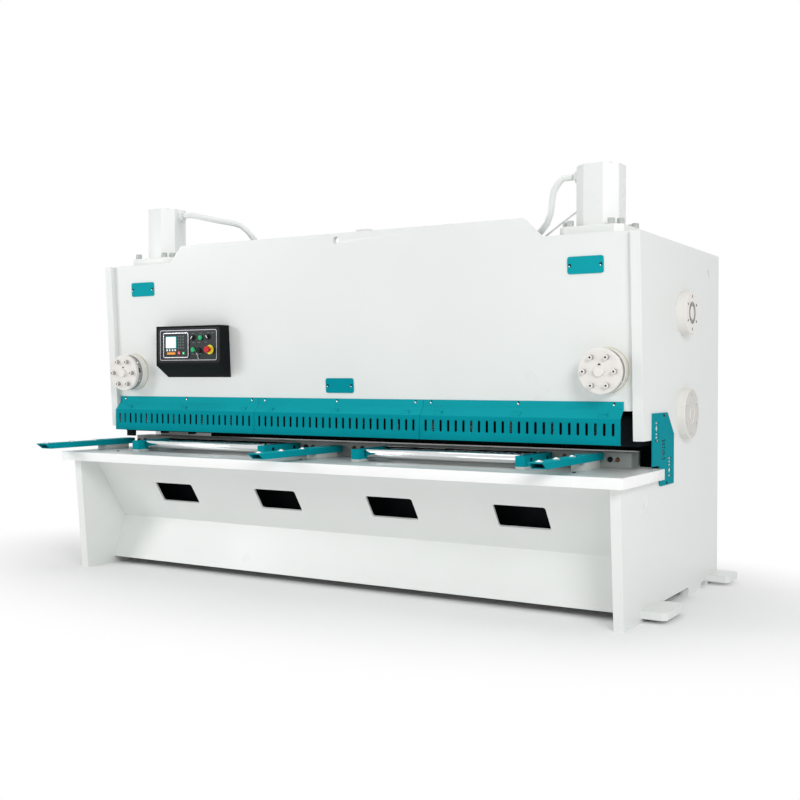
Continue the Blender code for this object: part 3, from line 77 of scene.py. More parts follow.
class ShearPaint(bpy.types.PropertyGroup):
    white: colour_property("White enamel", "Top coat of the welded frame", "E9ECEA")
    casting: colour_property("Casting white", "Brushed enamel on guide housings", "ECE9E4")
    teal: colour_property("Teal enamel", "Guards, arms and plates", "0A929E")
    black: colour_property("Black powder coat", "Control box", "1C1F20")
    soot: colour_property("Inner black", "Ram and hold-down beam", "1A2022")
    # Its black is also laid as painted shade on the bed beam, rear beam and chute
    bed: colour_property("Bed grey", "Enamel of the bed block", "959B98")
    steel: colour_property("Ground steel", "Table surface", "CFD2D0")
    chrome: colour_property("Hard chrome", "Rollers and piston rods", "DADCDD")
    fascia: colour_property("Fascia", "Printed front of the control panel", "14201F")


class ShearSizes(bpy.types.PropertyGroup):
    lean: bpy.props.FloatProperty(
        name="Panel lean", description="Set-back of the front panel per metre of height", default=0.057)
    edge: length_property("Broken edge", "Rounding left by the grinder on plates and castings", 0.0012)
    cap_screw: length_property("Cap screw", "Head radius of the guide housings' socket screws", 0.0125)
    flange_bolt: length_property("Flange bolt", "Head radius of the cylinder flanges' bolts", 0.018)
    guard_screw: length_property("Guard screw", "Head radius of the guard's screws", 0.0055)
    ball: length_property("Transfer ball", "Radius of the balls on the support arms", 0.0125)
    plug: length_property("Bed plug", "Radius of the plugs on the bed block's front", 0.0115)


def paint():
    return bpy.context.scene.shear_paint


def sizes():
    return bpy.context.scene.shear_sizes


def add_node(tree, kind, inputs=None, **settings):
    """Add one shader node, set its own settings, then set or link its inputs."""
    node = tree.nodes.new(kind)
    for key, value in settings.items():
        setattr(node, key, value)
    for key, value in (inputs or {}).items():
        socket = node.inputs[key]
        if isinstance(value, bpy.types.NodeSocket):
            tree.links.new(value, socket)
        else:
            socket.default_value = value
    return node


def new_material(name):
    """Empty Principled material and its tree, with Object coordinates ready."""
    material = bpy.data.materials.new(name)
    material.use_nodes = True
    tree = material.node_tree
    shader = tree.nodes["Principled BSDF"]
    coords = add_node(tree, "ShaderNodeTexCoord").outputs["Object"]
    return material, tree, shader, coords


def rgba(colour, scale=1.0):
    """A linear colour made lighter or darker, with full opacity."""
    return (*(min(1.0, c * scale) for c in colour), 1.0)


def surface(name, colour, drift, roughness, swing, fine, broad=None, stretch=None, relief=(0.35, 0.05)):
    """Material whose colour (by drift) and roughness (by swing) vary with the broad noise, its relief with
    the fine one. A noise is (waves per metre, detail), the relief is (strength, mm)."""
    material, tree, shader, coords = new_material(name)
    if stretch:
        coords = add_node(tree, "ShaderNodeMapping", {"Vector": coords, "Scale": stretch}).outputs["Vector"]
    noises = []
    for scale, detail in (broad, fine) if broad else (fine,):
        noise = add_node(tree, "ShaderNodeTexNoise", {"Vector": coords, "Scale": scale, "Detail": detail})
        noises.append(noise.outputs["Fac"])
    blend = add_node(tree, "ShaderNodeMix", {0: noises[0], 6: rgba(colour, 1.0 - drift),
                                             7: rgba(colour, 1.0 + drift)}, data_type="RGBA")
    tree.links.new(blend.outputs[2], shader.inputs["Base Color"])
    shader.inputs["Roughness"].default_value = roughness
    if swing:
        dull = add_node(tree, "ShaderNodeMapRange", {
            "Value": noises[0], "From Min": 0.3, "From Max": 0.7,
            "To Min": max(0.02, roughness - swing), "To Max": roughness + swing})
        tree.links.new(dull.outputs["Result"], shader.inputs["Roughness"])
    bump = add_node(tree, "ShaderNodeBump", {"Height": noises[-1], "Strength": relief[0],
                                             "Distance": relief[1] / 1000.0})
    tree.links.new(bump.outputs["Normal"], shader.inputs["Normal"])
    return material, shader


def enamel(name, colour, roughness=0.32, grain_mm=3.0, depth_mm=0.05, drift=0.03, gloss=0.3):
    """Sprayed enamel: a fine orange peel, and soft cloudiness from the filler below."""
    material, shader = surface(name, colour, drift, roughness, 0.05, (1000.0 / grain_mm, 1.0), (2.2, 3.0),
                               relief=(0.35, depth_mm))
    shader.inputs["Specular IOR Level"].default_value = gloss
    return material


def metal(name, colour, roughness, streak=(1.0, 1.0, 1.0), streak_mm=4.0, contrast=0.12, depth_mm=0.02,
          bare=1.0):
    """Bare metal with the marks of its last machining pass, drawn coarser than real so that they show."""
    material, shader = surface(name, colour, contrast, roughness, 0.06, (1000.0 / streak_mm, 3.0),
                               stretch=streak, relief=(0.4, depth_mm))
    shader.inputs["Metallic"].default_value = bare
    return material


def plastic(name, colour, roughness=0.35, glow=0.0):
    """Moulded plastic: even colour with a fine spark-eroded grain, or a lit lens where it glows."""
    grain_mm = 0.8
    material, shader = surface(name, colour, 0.06, roughness, 0.0, (1000.0 / grain_mm, 1.0),
                               relief=(0.3, 0.02))
    shader.inputs["Specular IOR Level"].default_value = 0.25
    if glow:
        shader.inputs["Emission Color"].default_value = rgba(colour)
        shader.inputs["Emission Strength"].default_value = glow
    return material


# Each finish: the real material's name, how it is mixed, its colour (one of the paints above, or sRGB) and
# what sets it apart
FINISHES = {
    # Two coats of gloss over filler: pale, slightly cloudy, with a soft reflection
    "white": ("white two-pack enamel", enamel, "white", {}),
    # Brushed by hand over rough iron: coarser peel and duller than the plates
    "cast": ("brushed enamel on cast iron", enamel, "casting",
             dict(roughness=0.38, grain_mm=6.0, depth_mm=0.25)),
    # Casting enamel greyed as painted shade in grooves, sunk rings and on the sides of screw heads: dull and
    # lumpy
    "shade": ("grey primer on cast iron", enamel, "ABA8A5",
              dict(roughness=0.45, grain_mm=6.0, depth_mm=0.25)),
    # Darker than the casting white, matt and finely pitted: the lower housings' dished faces
    "etched": ("rough pale primer on cast iron", enamel, "D6D4D0",
               dict(roughness=0.5, grain_mm=2.0, depth_mm=0.3, drift=0.06)),
    # The machine's colour: deep, with almost no white in its reflections
    "teal": ("teal two-pack enamel", enamel, "teal", dict(roughness=0.34, drift=0.05, gloss=0.003)),
    # The same enamel painted paler as painted light: on the tops of arms and brackets, the guard's upper
    # part, the outer cover plates and the tabs
    "fresh_teal": ("fresh teal enamel", enamel, "169FA9", dict(roughness=0.34, drift=0.05, gloss=0.003)),
    # White painted brighter as painted light on the table's edges and the barrels' right-front faces, and a
    # little glossier than the rest
    "bright": ("fresh white enamel", enamel, "FAFBFA", dict(roughness=0.3)),
    # Teal darkened along a fold of the slope as painted shade: darker and duller
    "crease": ("teal enamel pooled along a fold", enamel, "066972", dict(roughness=0.4, gloss=0.003)),
    # Baked powder: even, with a tight dimpled skin and no gloss layer
    "black": ("black powder coat", enamel, "black",
              dict(roughness=0.42, grain_mm=1.5, depth_mm=0.12, gloss=0.02)),
    # Black enamel of the ram and hold-down inside, also laid as painted shade on the bed beam's front and
    # underside and on the rear beam and chute: dull, so that the gaps read as deep
    "soot": ("inner black enamel", enamel, "soot", dict(roughness=0.45, gloss=0.03)),
    # Mid grey of the bed block: plain, with a soft sheen
    "bed": ("grey machine enamel", enamel, "bed", {}),
    # Light grey of feet and bolts: between the white plates and the bed
    "pad": ("pale grey enamel", enamel, "BCC1BE", {}),
    # Surface grinding along X leaves long fine lines that smear the reflections
    "ground": ("surface-ground steel", metal, "steel",
               dict(roughness=0.36, streak=(0.05, 1.0, 1.0), streak_mm=9.0, bare=0.3)),
    # Ground and oiled tool steel, drawn darker still as painted shade under the hold-down: dark, with lines
    # along the blade
    "blade": ("ground tool steel", metal, "3A3D3F", dict(roughness=0.3, streak=(0.02, 1.0, 1.0))),
    # Plated and polished: a mirror with faint turning marks round it
    "chrome": ("hard chrome plate", metal, "chrome",
               dict(roughness=0.12, streak=(1.0, 0.02, 0.02), contrast=0.04)),
    # Bright plating: small sharp highlights
    "zinc": ("zinc-plated screw steel", metal, "D9DCDD", dict(roughness=0.22, streak_mm=2.0)),
    # Chemical blacking: dark, with a metal's reflection; also laid on the bed block's top as painted shade
    "oxide": ("black-oxide steel", metal, "2A2B2C", dict(roughness=0.35, streak_mm=2.0)),
    # Brass gone brown: warm and half dull
    "brass": ("turned brass", metal, "7A5440", dict(roughness=0.3, streak_mm=2.0)),
    # Threads too fine to model: rings of light and dark round the screw
    "thread": ("rolled screw thread", metal, "A9ACAD",
               dict(roughness=0.25, streak=(0.02, 1.0, 0.02), streak_mm=5.0, contrast=0.5)),
    # Anodising hides the tooling marks: an even grey sheen
    "silver": ("satin anodised aluminium", metal, "8F8E93",
               dict(roughness=0.35, streak_mm=6.0, contrast=0.04, depth_mm=0.0)),
    # The same metal, buffed: paler and shinier
    "polished": ("polished aluminium bezel", metal, "D3D1D6",
                 dict(roughness=0.25, streak_mm=6.0, contrast=0.04, depth_mm=0.0)),
    # Printed film: near black and smooth
    "fascia": ("printed polyester fascia", plastic, "fascia", dict(roughness=0.3)),
    # Moulded rubber: black and matt
    "rubber": ("black nitrile rubber", plastic, "0C0E0F", dict(roughness=0.55)),
    # Shallow holes in pale castings: a warm grey that no lamp brightens
    "hollow": ("shadow inside a hole", plastic, "4A4745", dict(roughness=0.9)),
    # Deep holes: close to black
    "pit": ("unlit hole", plastic, "0B0C0C", dict(roughness=0.9)),
    # Lit from behind: pale and evenly bright
    "screen": ("lit display film", plastic, "F4FBFB", dict(roughness=0.2, glow=0.5)),
    # Printed and half lit: a clear cyan frame round the film
    "cyan": ("cyan display border", plastic, "2BCBC8", dict(roughness=0.2, glow=0.25)),
    # Embossed film: keys one step lighter than the fascia
    "key": ("grey membrane key", plastic, "4A5656", dict(roughness=0.4)),
    # Print seen from afar: grey rather than white
    "mark": ("white screen print", plastic, "6A7171", dict(roughness=0.5)),
    # White film: the brightest spots of the keypad
    "white_key": ("white membrane key", plastic, "F1F4F3", {}),
    # Orange film: warm, with a faint glow as painted light so that it stands out on black
    "orange": ("orange membrane key", plastic, "EE9A3A", dict(glow=0.1)),
    # Clear green moulding: deep colour with a small glow
    "green": ("green polycarbonate lens", plastic, "17A869", dict(roughness=0.2, glow=0.15)),
    # Moulded red: glossy and saturated
    "red": ("red polycarbonate", plastic, "C21E25", dict(roughness=0.25)),
    # Moulded yellow: flat and bright behind the stop button
    "yellow": ("yellow ABS disc", plastic, "E9DC2B", {}),
    # Paste squeezed out round the housings: dull olive
    "olive": ("olive seal paste", plastic, "BBAF6C", dict(roughness=0.5)),
    # Oil behind a smooth window: amber with a sharp reflection
    "glass": ("oil sight glass", plastic, "C9B67A", dict(roughness=0.08)),
}


def finish(key):
    """A finish by its short name, mixed the first time that something asks for it."""
    name, mix, colour, settings = FINISHES[key]
    if name not in bpy.data.materials:
        mix(name, getattr(paint(), colour) if hasattr(paint(), colour) else linear(colour), **settings)
    return bpy.data.materials[name]


def dress(name, key):
    """Give a CAD node its finish, its mesh left as it is."""
    node = NODES[name]
    node.data.materials.clear()
    node.data.materials.append(finish(key))


def add_bevel(piece, width):
    """Modifier that rounds the edges sharper than 40 degrees."""
    bevel = piece.modifiers.new("broken edge", "BEVEL")
    bevel.width = width
    bevel.segments = 2
    bevel.limit_method = "ANGLE"
    bevel.angle_limit = math.radians(40.0)
    return bevel


def break_edges(name):
    """Soften a CAD node's edges as a grinder does, by modifiers over its unchanged mesh."""
    node = NODES[name]
    node.modifiers.new("weld", "WELD").merge_threshold = 0.00001
    add_bevel(node, sizes().edge)


def fresh():
    """Object mode with nothing selected, so that an operator acts on the new piece alone."""
    if bpy.context.object and bpy.context.object.mode != "OBJECT":
        bpy.ops.object.mode_set(mode="OBJECT")
    bpy.ops.object.select_all(action="DESELECT")


def take(piece):
    """Select one piece alone and make it the active one."""
    fresh()
    piece.select_set(True)
    bpy.context.view_layer.objects.active = piece
    return piece


def edit(piece):
    """Edit mode on one piece alone, with all of its mesh selected."""
    take(piece)
    bpy.ops.object.mode_set(mode="EDIT")
    bpy.ops.mesh.select_all(action="SELECT")
    return piece


def pick(piece, kind, test):
    """In edit mode, select the faces, edges or points (FACE, EDGE or VERT) that pass a test."""
    bpy.ops.mesh.select_mode(type=kind)
    bpy.ops.mesh.select_all(action="DESELECT")
    bm = bmesh.from_edit_mesh(piece.data)
    for part in {"FACE": bm.faces, "EDGE": bm.edges, "VERT": bm.verts}[kind]:
        part.select_set(bool(test(part)))
    bm.select_flush_mode()
    bmesh.update_edit_mesh(piece.data)


def close_up(piece, smooth_deg=35.0):
    """Back to object mode with all faces outwards and round ones shaded smooth."""
    bpy.ops.mesh.select_all(action="SELECT")
    bpy.ops.mesh.normals_make_consistent(inside=False)
    bpy.ops.object.mode_set(mode="OBJECT")
    bpy.ops.object.shade_smooth_by_angle(angle=math.radians(smooth_deg))
    return piece


def turned(name, profile, steps=32):
    """A round piece about Z: a disc, drawn up and in through (radius, height) steps by extrude and scale."""
    fresh()
    radius, height = profile[0]
    bpy.ops.mesh.primitive_circle_add(vertices=steps, radius=radius, fill_type="NGON",
                                      location=(0, 0, height))
    piece = bpy.context.active_object
    piece.name = name
    bpy.ops.object.transform_apply(location=True)
    edit(piece)
    for next_radius, next_height in profile[1:]:
        bpy.ops.mesh.extrude_region_move(TRANSFORM_OT_translate={"value": (0, 0, next_height - height)})
        scale = next_radius / radius
        bpy.ops.transform.resize(value=(scale, scale, 1.0))
        radius, height = next_radius, next_height
    return close_up(piece)


def socket_screw(name, radius, height, socket=0.5, steps=20):
    """Cap screw: a head with a rounded shoulder and a hexagon socket sunk in it."""
    piece = turned(name, [(radius, -0.001), (radius, height - 0.12 * radius), (radius * 0.88, height)], steps)
    return sink(piece, radius * 0.88, socket * radius, height * 0.55)


def sink(piece, rim, hole, depth):
    """Inset the top face to a hole and push it down."""
    top = max(v.co.z for v in piece.data.vertices)
    pick(edit(piece), "FACE", lambda f: f.normal.z > 0.9 and f.calc_center_median().z > top - 0.0001)
    bpy.ops.mesh.inset(thickness=rim - hole)
    bpy.ops.mesh.extrude_region_move(TRANSFORM_OT_translate={"value": (0, 0, -depth)})
    return close_up(piece)


def block(name, size, edge=0.001, segments=2):
    """A block about the origin with rounded edges."""
    fresh()
    bpy.ops.mesh.primitive_cube_add(size=1.0, scale=size)
    piece = bpy.context.active_object
    piece.name = name
    bpy.ops.object.transform_apply(scale=True)
    edit(piece)
    bpy.ops.mesh.bevel(offset=edge, segments=segments, affect="EDGES")
    return close_up(piece)


def plate(name, width, height, depth, radius, edge=0.0):
    """A flat plate on the XY plane with rounded corners, rising to its depth."""
    fresh()
    bpy.ops.mesh.primitive_plane_add(size=1.0, scale=(1, 1, 1))
    piece = bpy.context.active_object
    piece.name = name
    piece.scale = (width, height, 1.0)
    bpy.ops.object.transform_apply(scale=True)
    edit(piece)
    if radius:
        bpy.ops.mesh.bevel(offset=radius, segments=4, affect="VERTICES")
        bpy.ops.mesh.select_all(action="SELECT")
    bpy.ops.mesh.extrude_region_move(TRANSFORM_OT_translate={"value": (0, 0, depth)})
    if edge:
        bpy.ops.mesh.inset(thickness=edge)
        bpy.ops.transform.translate(value=(0, 0, edge))
    return close_up(piece)


def welded(name, edge=0.0):
    """A copy of a CAD node that stands for it, its triangles joined into whole faces, round ones smooth."""
    twin = NODES[name].copy()
    twin.data = NODES[name].data.copy()
    twin.parent = None
    twin.matrix_world = Matrix.Identity(4)
    twin.name = name + "_finish"
    bpy.context.scene.collection.objects.link(twin)
    edit(twin)
    bpy.ops.mesh.remove_doubles(threshold=0.00001)
    bpy.ops.mesh.dissolve_limited(angle_limit=math.radians(0.5))
    bpy.ops.object.mode_set(mode="OBJECT")
    if edge:
        bpy.ops.object.modifier_apply(modifier=add_bevel(twin, edge).name)
    bpy.ops.object.shade_smooth_by_angle(angle=math.radians(35.0))
    return twin


def repaint(piece, key, test):
    """Give the faces whose centre and normal pass a test a second finish."""
    piece.data.materials.append(finish(key))
    index = len(piece.data.materials) - 1
    for face in piece.data.polygons:
        if test(face.center, face.normal):
            face.material_index = index


def move(x, y, z):
    """Matrix that carries a piece by a step."""
    return Matrix.Translation((x, y, z))


def turn(degrees, axis="Z"):
    """Matrix that turns a piece about one of its own axes."""
    return Matrix.Rotation(math.radians(degrees), 4, axis)


def facing(point, normal, up=(0, 0, 1)):
    """Matrix that stands a piece on a surface: its Z along the normal, its Y upwards."""
    z = Vector(normal).normalized()
    x = Vector(up).cross(z).normalized()
    return Matrix.Translation(point) @ Matrix((x, z.cross(x), z)).transposed().to_4x4()


def settle(piece, key, body="frame", place=None):
    """Put a finished piece in its place, in its mesh, and give it its finish and body."""
    if place is not None:
        piece.data.transform(place)
    piece.data.materials.clear()
    piece.data.materials.append(finish(key))
    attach(piece, body)
    return piece


def spread(model, name, places, key, body="frame"):
    """Copies of a model, each with its own mesh, joined as one set of like fasteners."""
    fresh()
    for place in places:
        twin = model.copy()
        twin.data = model.data.copy()
        twin.data.transform(place)
        bpy.context.scene.collection.objects.link(twin)
        twin.select_set(True)
    bpy.context.view_layer.objects.active = twin
    if len(places) > 1:
        bpy.ops.object.join()
    bpy.data.objects.remove(model, do_unlink=True)
    twin.name = name
    return settle(twin, key, body)


def lay_plates(rows):
    """Sets of flat plates: each row has a name, a plate's sizes, a finish and the places."""
    for name, shape, key, places in rows:
        spread(plate(name + "_model", *shape), name, places, key)


def stand_in(name, key, edge=0.0):
    """Replace a CAD node by its welded copy in the same place."""
    piece = welded(name, edge)
    settle(piece, key, BODY_OF[name])
    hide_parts(name)
    return piece


def middle_of(name):
    """Middle of a CAD node's box."""
    return [(a + b) / 2.0 for a, b in zip(*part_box(name))]


def panel_y(z):
    """Depth of the leaning front panel's face at a height."""
    low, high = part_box("front_panel")
    return low[1] + (high[2] - z) * sizes().lean


def panel_normal():
    return Vector((0.0, -1.0, -sizes().lean))


class SHEAR_OT_stage(bpy.types.Operator):
    """Pale floor, soft light and the photograph's camera"""
    bl_idname = "shear.stage"
    bl_label = "Stage"

    def execute(self, context):
        fresh()
        bpy.ops.mesh.primitive_circle_add(vertices=96, radius=30.0, fill_type="NGON", location=(0, 0, 0))
        floor = context.active_object
        floor.name = "studio_floor"
        floor.data.materials.append(floor_paper())
        world = context.scene.world or bpy.data.worlds.new("studio")
        context.scene.world = world
        world.use_nodes = True
        tree = world.node_tree
        tree.nodes.clear()
        seen = seen_rays(tree)
        soft = add_node(tree, "ShaderNodeBackground", {"Color": (1, 1, 1, 1), "Strength": 0.48})
        white = add_node(tree, "ShaderNodeBackground", {"Color": (1, 1, 1, 1), "Strength": 1.0})
        mixed = add_node(tree, "ShaderNodeMixShader",
                         {0: seen.outputs[0], 1: soft.outputs[0], 2: white.outputs[0]})
        add_node(tree, "ShaderNodeOutputWorld", {"Surface": mixed.outputs[0]})
        # Each softbox: its place, the point that it faces, its width in metres and its power in watts
        for name, place, aim, size, power in (
                ("key softbox", (5.4, -4.8, 3.8), (0.6, 0.0, 0.9), 2.2, 165.0),
                ("fill softbox", (-4.6, -4.4, 2.8), (-0.6, 0.0, 0.9), 1.8, 84.0),
                ("low softbox", (-0.4, -6.4, 0.5), (0.0, 0.0, 0.5), 2.4, 26.0),
                ("side softbox", (6.4, 1.0, 2.9), (1.7, 0.2, 1.5), 2.4, 20.0),
                ("top softbox", (0.0, 0.4, 5.2), (0.0, 0.0, 0.0), 3.6, 58.0)):
            bpy.ops.object.light_add(type="AREA", location=place)
            lamp = context.active_object
            lamp.name = name
            lamp.rotation_euler = (Vector(aim) - Vector(place)).to_track_quat("-Z", "Y").to_euler()
            lamp.data.shape = "SQUARE"
            lamp.data.size = size
            lamp.data.energy = power
        # The camera's place, tilt and pan (degrees) and lens (mm) were fitted to the photo's straight edges
        tilt, pan, lens = 88.852, 31.017, 49.72
        bpy.ops.object.camera_add(location=(3.408, -5.35979, 1.14875),
                                  rotation=(math.radians(tilt), 0.0, math.radians(pan)))
        camera = context.active_object
        camera.data.lens = lens
        camera.data.sensor_width = 36.0
        context.scene.camera = camera
        context.scene.view_settings.view_transform = "Standard"
        return {"FINISHED"}


def seen_rays(tree):
    """One for the rays that see or mirror the background, nought for those that carry light."""
    path = add_node(tree, "ShaderNodeLightPath")
    mirrored = add_node(tree, "ShaderNodeMath", {0: path.outputs["Is Glossy Ray"],
                                                 1: path.outputs["Is Transmission Ray"]}, operation="MAXIMUM")
    return add_node(tree, "ShaderNodeMath", {0: path.outputs["Is Camera Ray"], 1: mirrored.outputs[0]},
                    operation="MAXIMUM")


def floor_paper():
    """Seamless studio paper: matt, nearly white, and pure white where only the camera sees it far off."""
    material, tree, shader, coords = new_material("seamless paper")
    shader.inputs["Base Color"].default_value = rgba(linear("F9F9F9"))
    shader.inputs["Roughness"].default_value = 0.9
    shader.inputs["Specular IOR Level"].default_value = 0.1
    seen = seen_rays(tree)
    squashed = add_node(tree, "ShaderNodeMapping", {"Vector": coords, "Scale": (0.54, 0.95, 0.0)})
    away = add_node(tree, "ShaderNodeVectorMath", {0: squashed.outputs["Vector"]}, operation="LENGTH")
    far = add_node(tree, "ShaderNodeMapRange",
                   {"Value": away.outputs["Value"], "From Min": 0.95, "From Max": 1.9},
                   interpolation_type="SMOOTHSTEP")
    share = add_node(tree, "ShaderNodeMath", {0: seen.outputs[0], 1: far.outputs["Result"]},
                     operation="MULTIPLY")
    glow = add_node(tree, "ShaderNodeEmission", {"Color": (1, 1, 1, 1), "Strength": 1.0})
    mixed = add_node(tree, "ShaderNodeMixShader",
                     {0: share.outputs[0], 1: shader.outputs[0], 2: glow.outputs[0]})
    tree.links.new(mixed.outputs[0], tree.nodes["Material Output"].inputs["Surface"])
    return material


class SHEAR_OT_frame(bpy.types.Operator):
    """Welded plates, cylinders and pipes in white, the bed beam's front and underside, rear beam and chute in
    black as painted shade, the barrels' right-front faces brighter as a painted highlight, edges broken
    """
    bl_idname = "shear.frame"
    bl_label = "Welded frame"

    def execute(self, context):
        beam = stand_in("bed_beam", "white")
        # The bed beam's front and underside in black: painted shade inside the machine
        repaint(beam, "soot", lambda c, n: n.y < -0.9 or n.z < -0.9)
        for name in ("side_plate_left", "side_plate_right", "front_panel", "front_apron",
                     "cylinder_mount_left", "cylinder_mount_right", "tank_shelf", "oil_tank"):
            dress(name, "white")
            break_edges(name)
        # Rear beam and chute in black: painted shade seen through the gap under the hold-down
        for name in ("rear_beam", "offcut_chute"):
            dress(name, "soot")
            break_edges(name)
        for name in ("cylinder_left", "cylinder_right"):
            barrel = stand_in(name, "white", 0.0015)
            # The barrel's right-front faces in the brighter white: a painted highlight from the key light
            repaint(barrel, "bright", lambda c, n: n.x > 0.4 and n.y < -0.4)
        for name in ("pipe_left", "pipe_right"):
            stand_in(name, "white")
        return {"FINISHED"}


class SHEAR_OT_table(bpy.types.Operator):
    """Ground table with its edges painted brighter as painted light and its screws, bed block with its plugs
    and its top darkened as painted shade, and the lower blade
    """
    bl_idname = "shear.table"
    bl_label = "Table and bed"

    def execute(self, context):
        # The table's edges in the brighter white as painted light; its top in ground steel
        table = stand_in("table_top", "bright", sizes().edge)
        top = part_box("table_top")[1][2]
        repaint(table, "ground", lambda c, n: n.z > 0.9 and c.z > top - 0.0005)
        bed = stand_in("bed_block", "bed", sizes().edge)
        bed_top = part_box("bed_block")[1][2]
        # The bed block's top in the dark blacking: painted shade under the hold-down
        repaint(bed, "oxide", lambda c, n: n.z > 0.9 and c.z > bed_top - 0.001)
        dress("lower_blade", "blade")
        radius = sizes().plug
        front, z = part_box("bed_block")[0][1], middle_of("bed_block")[2] + 0.006
        brass, black = [], []
        for x_brass, x_black, dz in ((-1.634, -1.585, 0.0), (-0.282, -0.33, 0.0), (0.003, 0.056, 0.003),
                                     (1.263, 1.312, 0.003), (1.542, 1.504, -0.004)):
            brass.append(facing((x_brass, front, z + dz), (0, -1, 0)))
            black.append(facing((x_black, front, z + dz), (0, -1, 0)))
        plug = turned("plug", [(radius, -0.001), (radius, 0.003), (radius * 0.8, 0.005),
                               (radius * 0.8, 0.012), (radius * 0.7, 0.014)], 24)
        plug = sink(plug, radius * 0.7, radius * 0.35, 0.005)
        spread(plug, "bed_brass_plugs", brass, "brass")
        bung = turned("bung", [(radius * 1.15, -0.001), (radius * 1.15, 0.006), (radius * 0.95, 0.009)], 24)
        bung = sink(bung, radius * 0.95, radius * 0.5, 0.004)
        spread(bung, "bed_black_bungs", black, "oxide")
        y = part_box("table_top")[0][1] + 0.17
        screw = socket_screw("table screw", 0.009, 0.004, 0.45)
        spread(screw, "table_screws", [move(x, y, top) for x in (-1.46, -0.1075, 1.46)], "oxide")
        return {"FINISHED"}


class SHEAR_OT_guard(bpy.types.Operator):
    """Guard sheets with keyhole screws and pressed tabs"""
    bl_idname = "shear.guard"
    bl_label = "Finger guard"

    def execute(self, context):
        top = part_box("guard_left")[1][2]
        for word in ("left", "middle", "right"):
            sheet = stand_in("guard_" + word, "teal", 0.0008)
            # The guard's top flange and slope in the paler teal: painted light from above
            repaint(sheet, "fresh_teal", lambda c, n: c.z > top - 0.080 and n.y < 0.0)
        screw_z, slope_top = top - 0.0135, top - 0.037
        knee_z = slope_top - 0.046
        knee_y = min(v.co.y for v in NODES["guard_left"].data.vertices if abs(v.co.z - knee_z) < 0.004)
        slope = Vector((0.0, panel_y(slope_top) - 0.0047 - knee_y, slope_top - knee_z))
        outward = Vector((0.0, -slope.z, slope.y))
        middle = Vector((0.0, knee_y, knee_z)) + slope * 0.36
        skin = outward.normalized() * 0.0002
        screws, holes, tabs, gaps, sides, creases = [], [], [], [], [], []
        for word in ("left", "middle", "right"):
            left, right = (corner[0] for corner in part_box("guard_" + word))
            centre = (left + right) / 2.0
            for offset in (-0.5, 0.0, 0.5):
                y = panel_y(screw_z) - 0.0048
                screws.append(facing((centre + offset, y, screw_z - 0.003), panel_normal()))
                holes.append(facing((centre + offset + 0.001, y + 0.0002, screw_z + 0.002), panel_normal()))
            for offset in (-0.445, 0.0, 0.455):
                spot = facing(middle + Vector((centre + offset, 0, 0)) + skin, outward, slope)
                tabs.append(spot)
                gaps.append(spot @ move(0.003, -0.0135, 0.0))
                sides.append(spot @ move(0.0255, 0.0, 0.0))
            # A thin dark line along the slope, painted shade where the sheet folds
            fold = middle + Vector((centre + 0.17, 0, 0)) + skin * 0.5 + slope * 0.14
            creases.append(facing(fold, outward, slope))
        radius = sizes().guard_screw
        head = turned("guard screw", [(radius, -0.001), (radius, 0.001), (radius * 0.8, 0.003),
                                      (radius * 0.4, 0.004)], 16)
        spread(head, "guard_screws", screws, "zinc")
        lay_plates((("guard_keyholes", (0.010, 0.016, 0.0004, 0.0048), "pit", holes),
                    ("guard_tab_gaps", (0.052, 0.009, 0.0006, 0.0), "pit", gaps),
                    ("guard_tab_sides", (0.008, 0.032, 0.0006, 0.0), "pit", sides),
                    ("guard_creases", (0.70, 0.0024, 0.0003, 0.0), "crease", creases)))
        tab = block("tab", (0.046, 0.024, 0.006), 0.001)
        pick(edit(tab), "FACE", lambda f: f.normal.x > 0.9)
        bpy.ops.transform.translate(value=(0, 0, 0.004))
        bpy.ops.transform.resize(value=(1, 0.8, 1))
        close_up(tab)
        # Tabs in the paler teal, the painted light of the slope they sit on
        spread(tab, "guard_tabs", tabs, "fresh_teal")
        return {"FINISHED"}


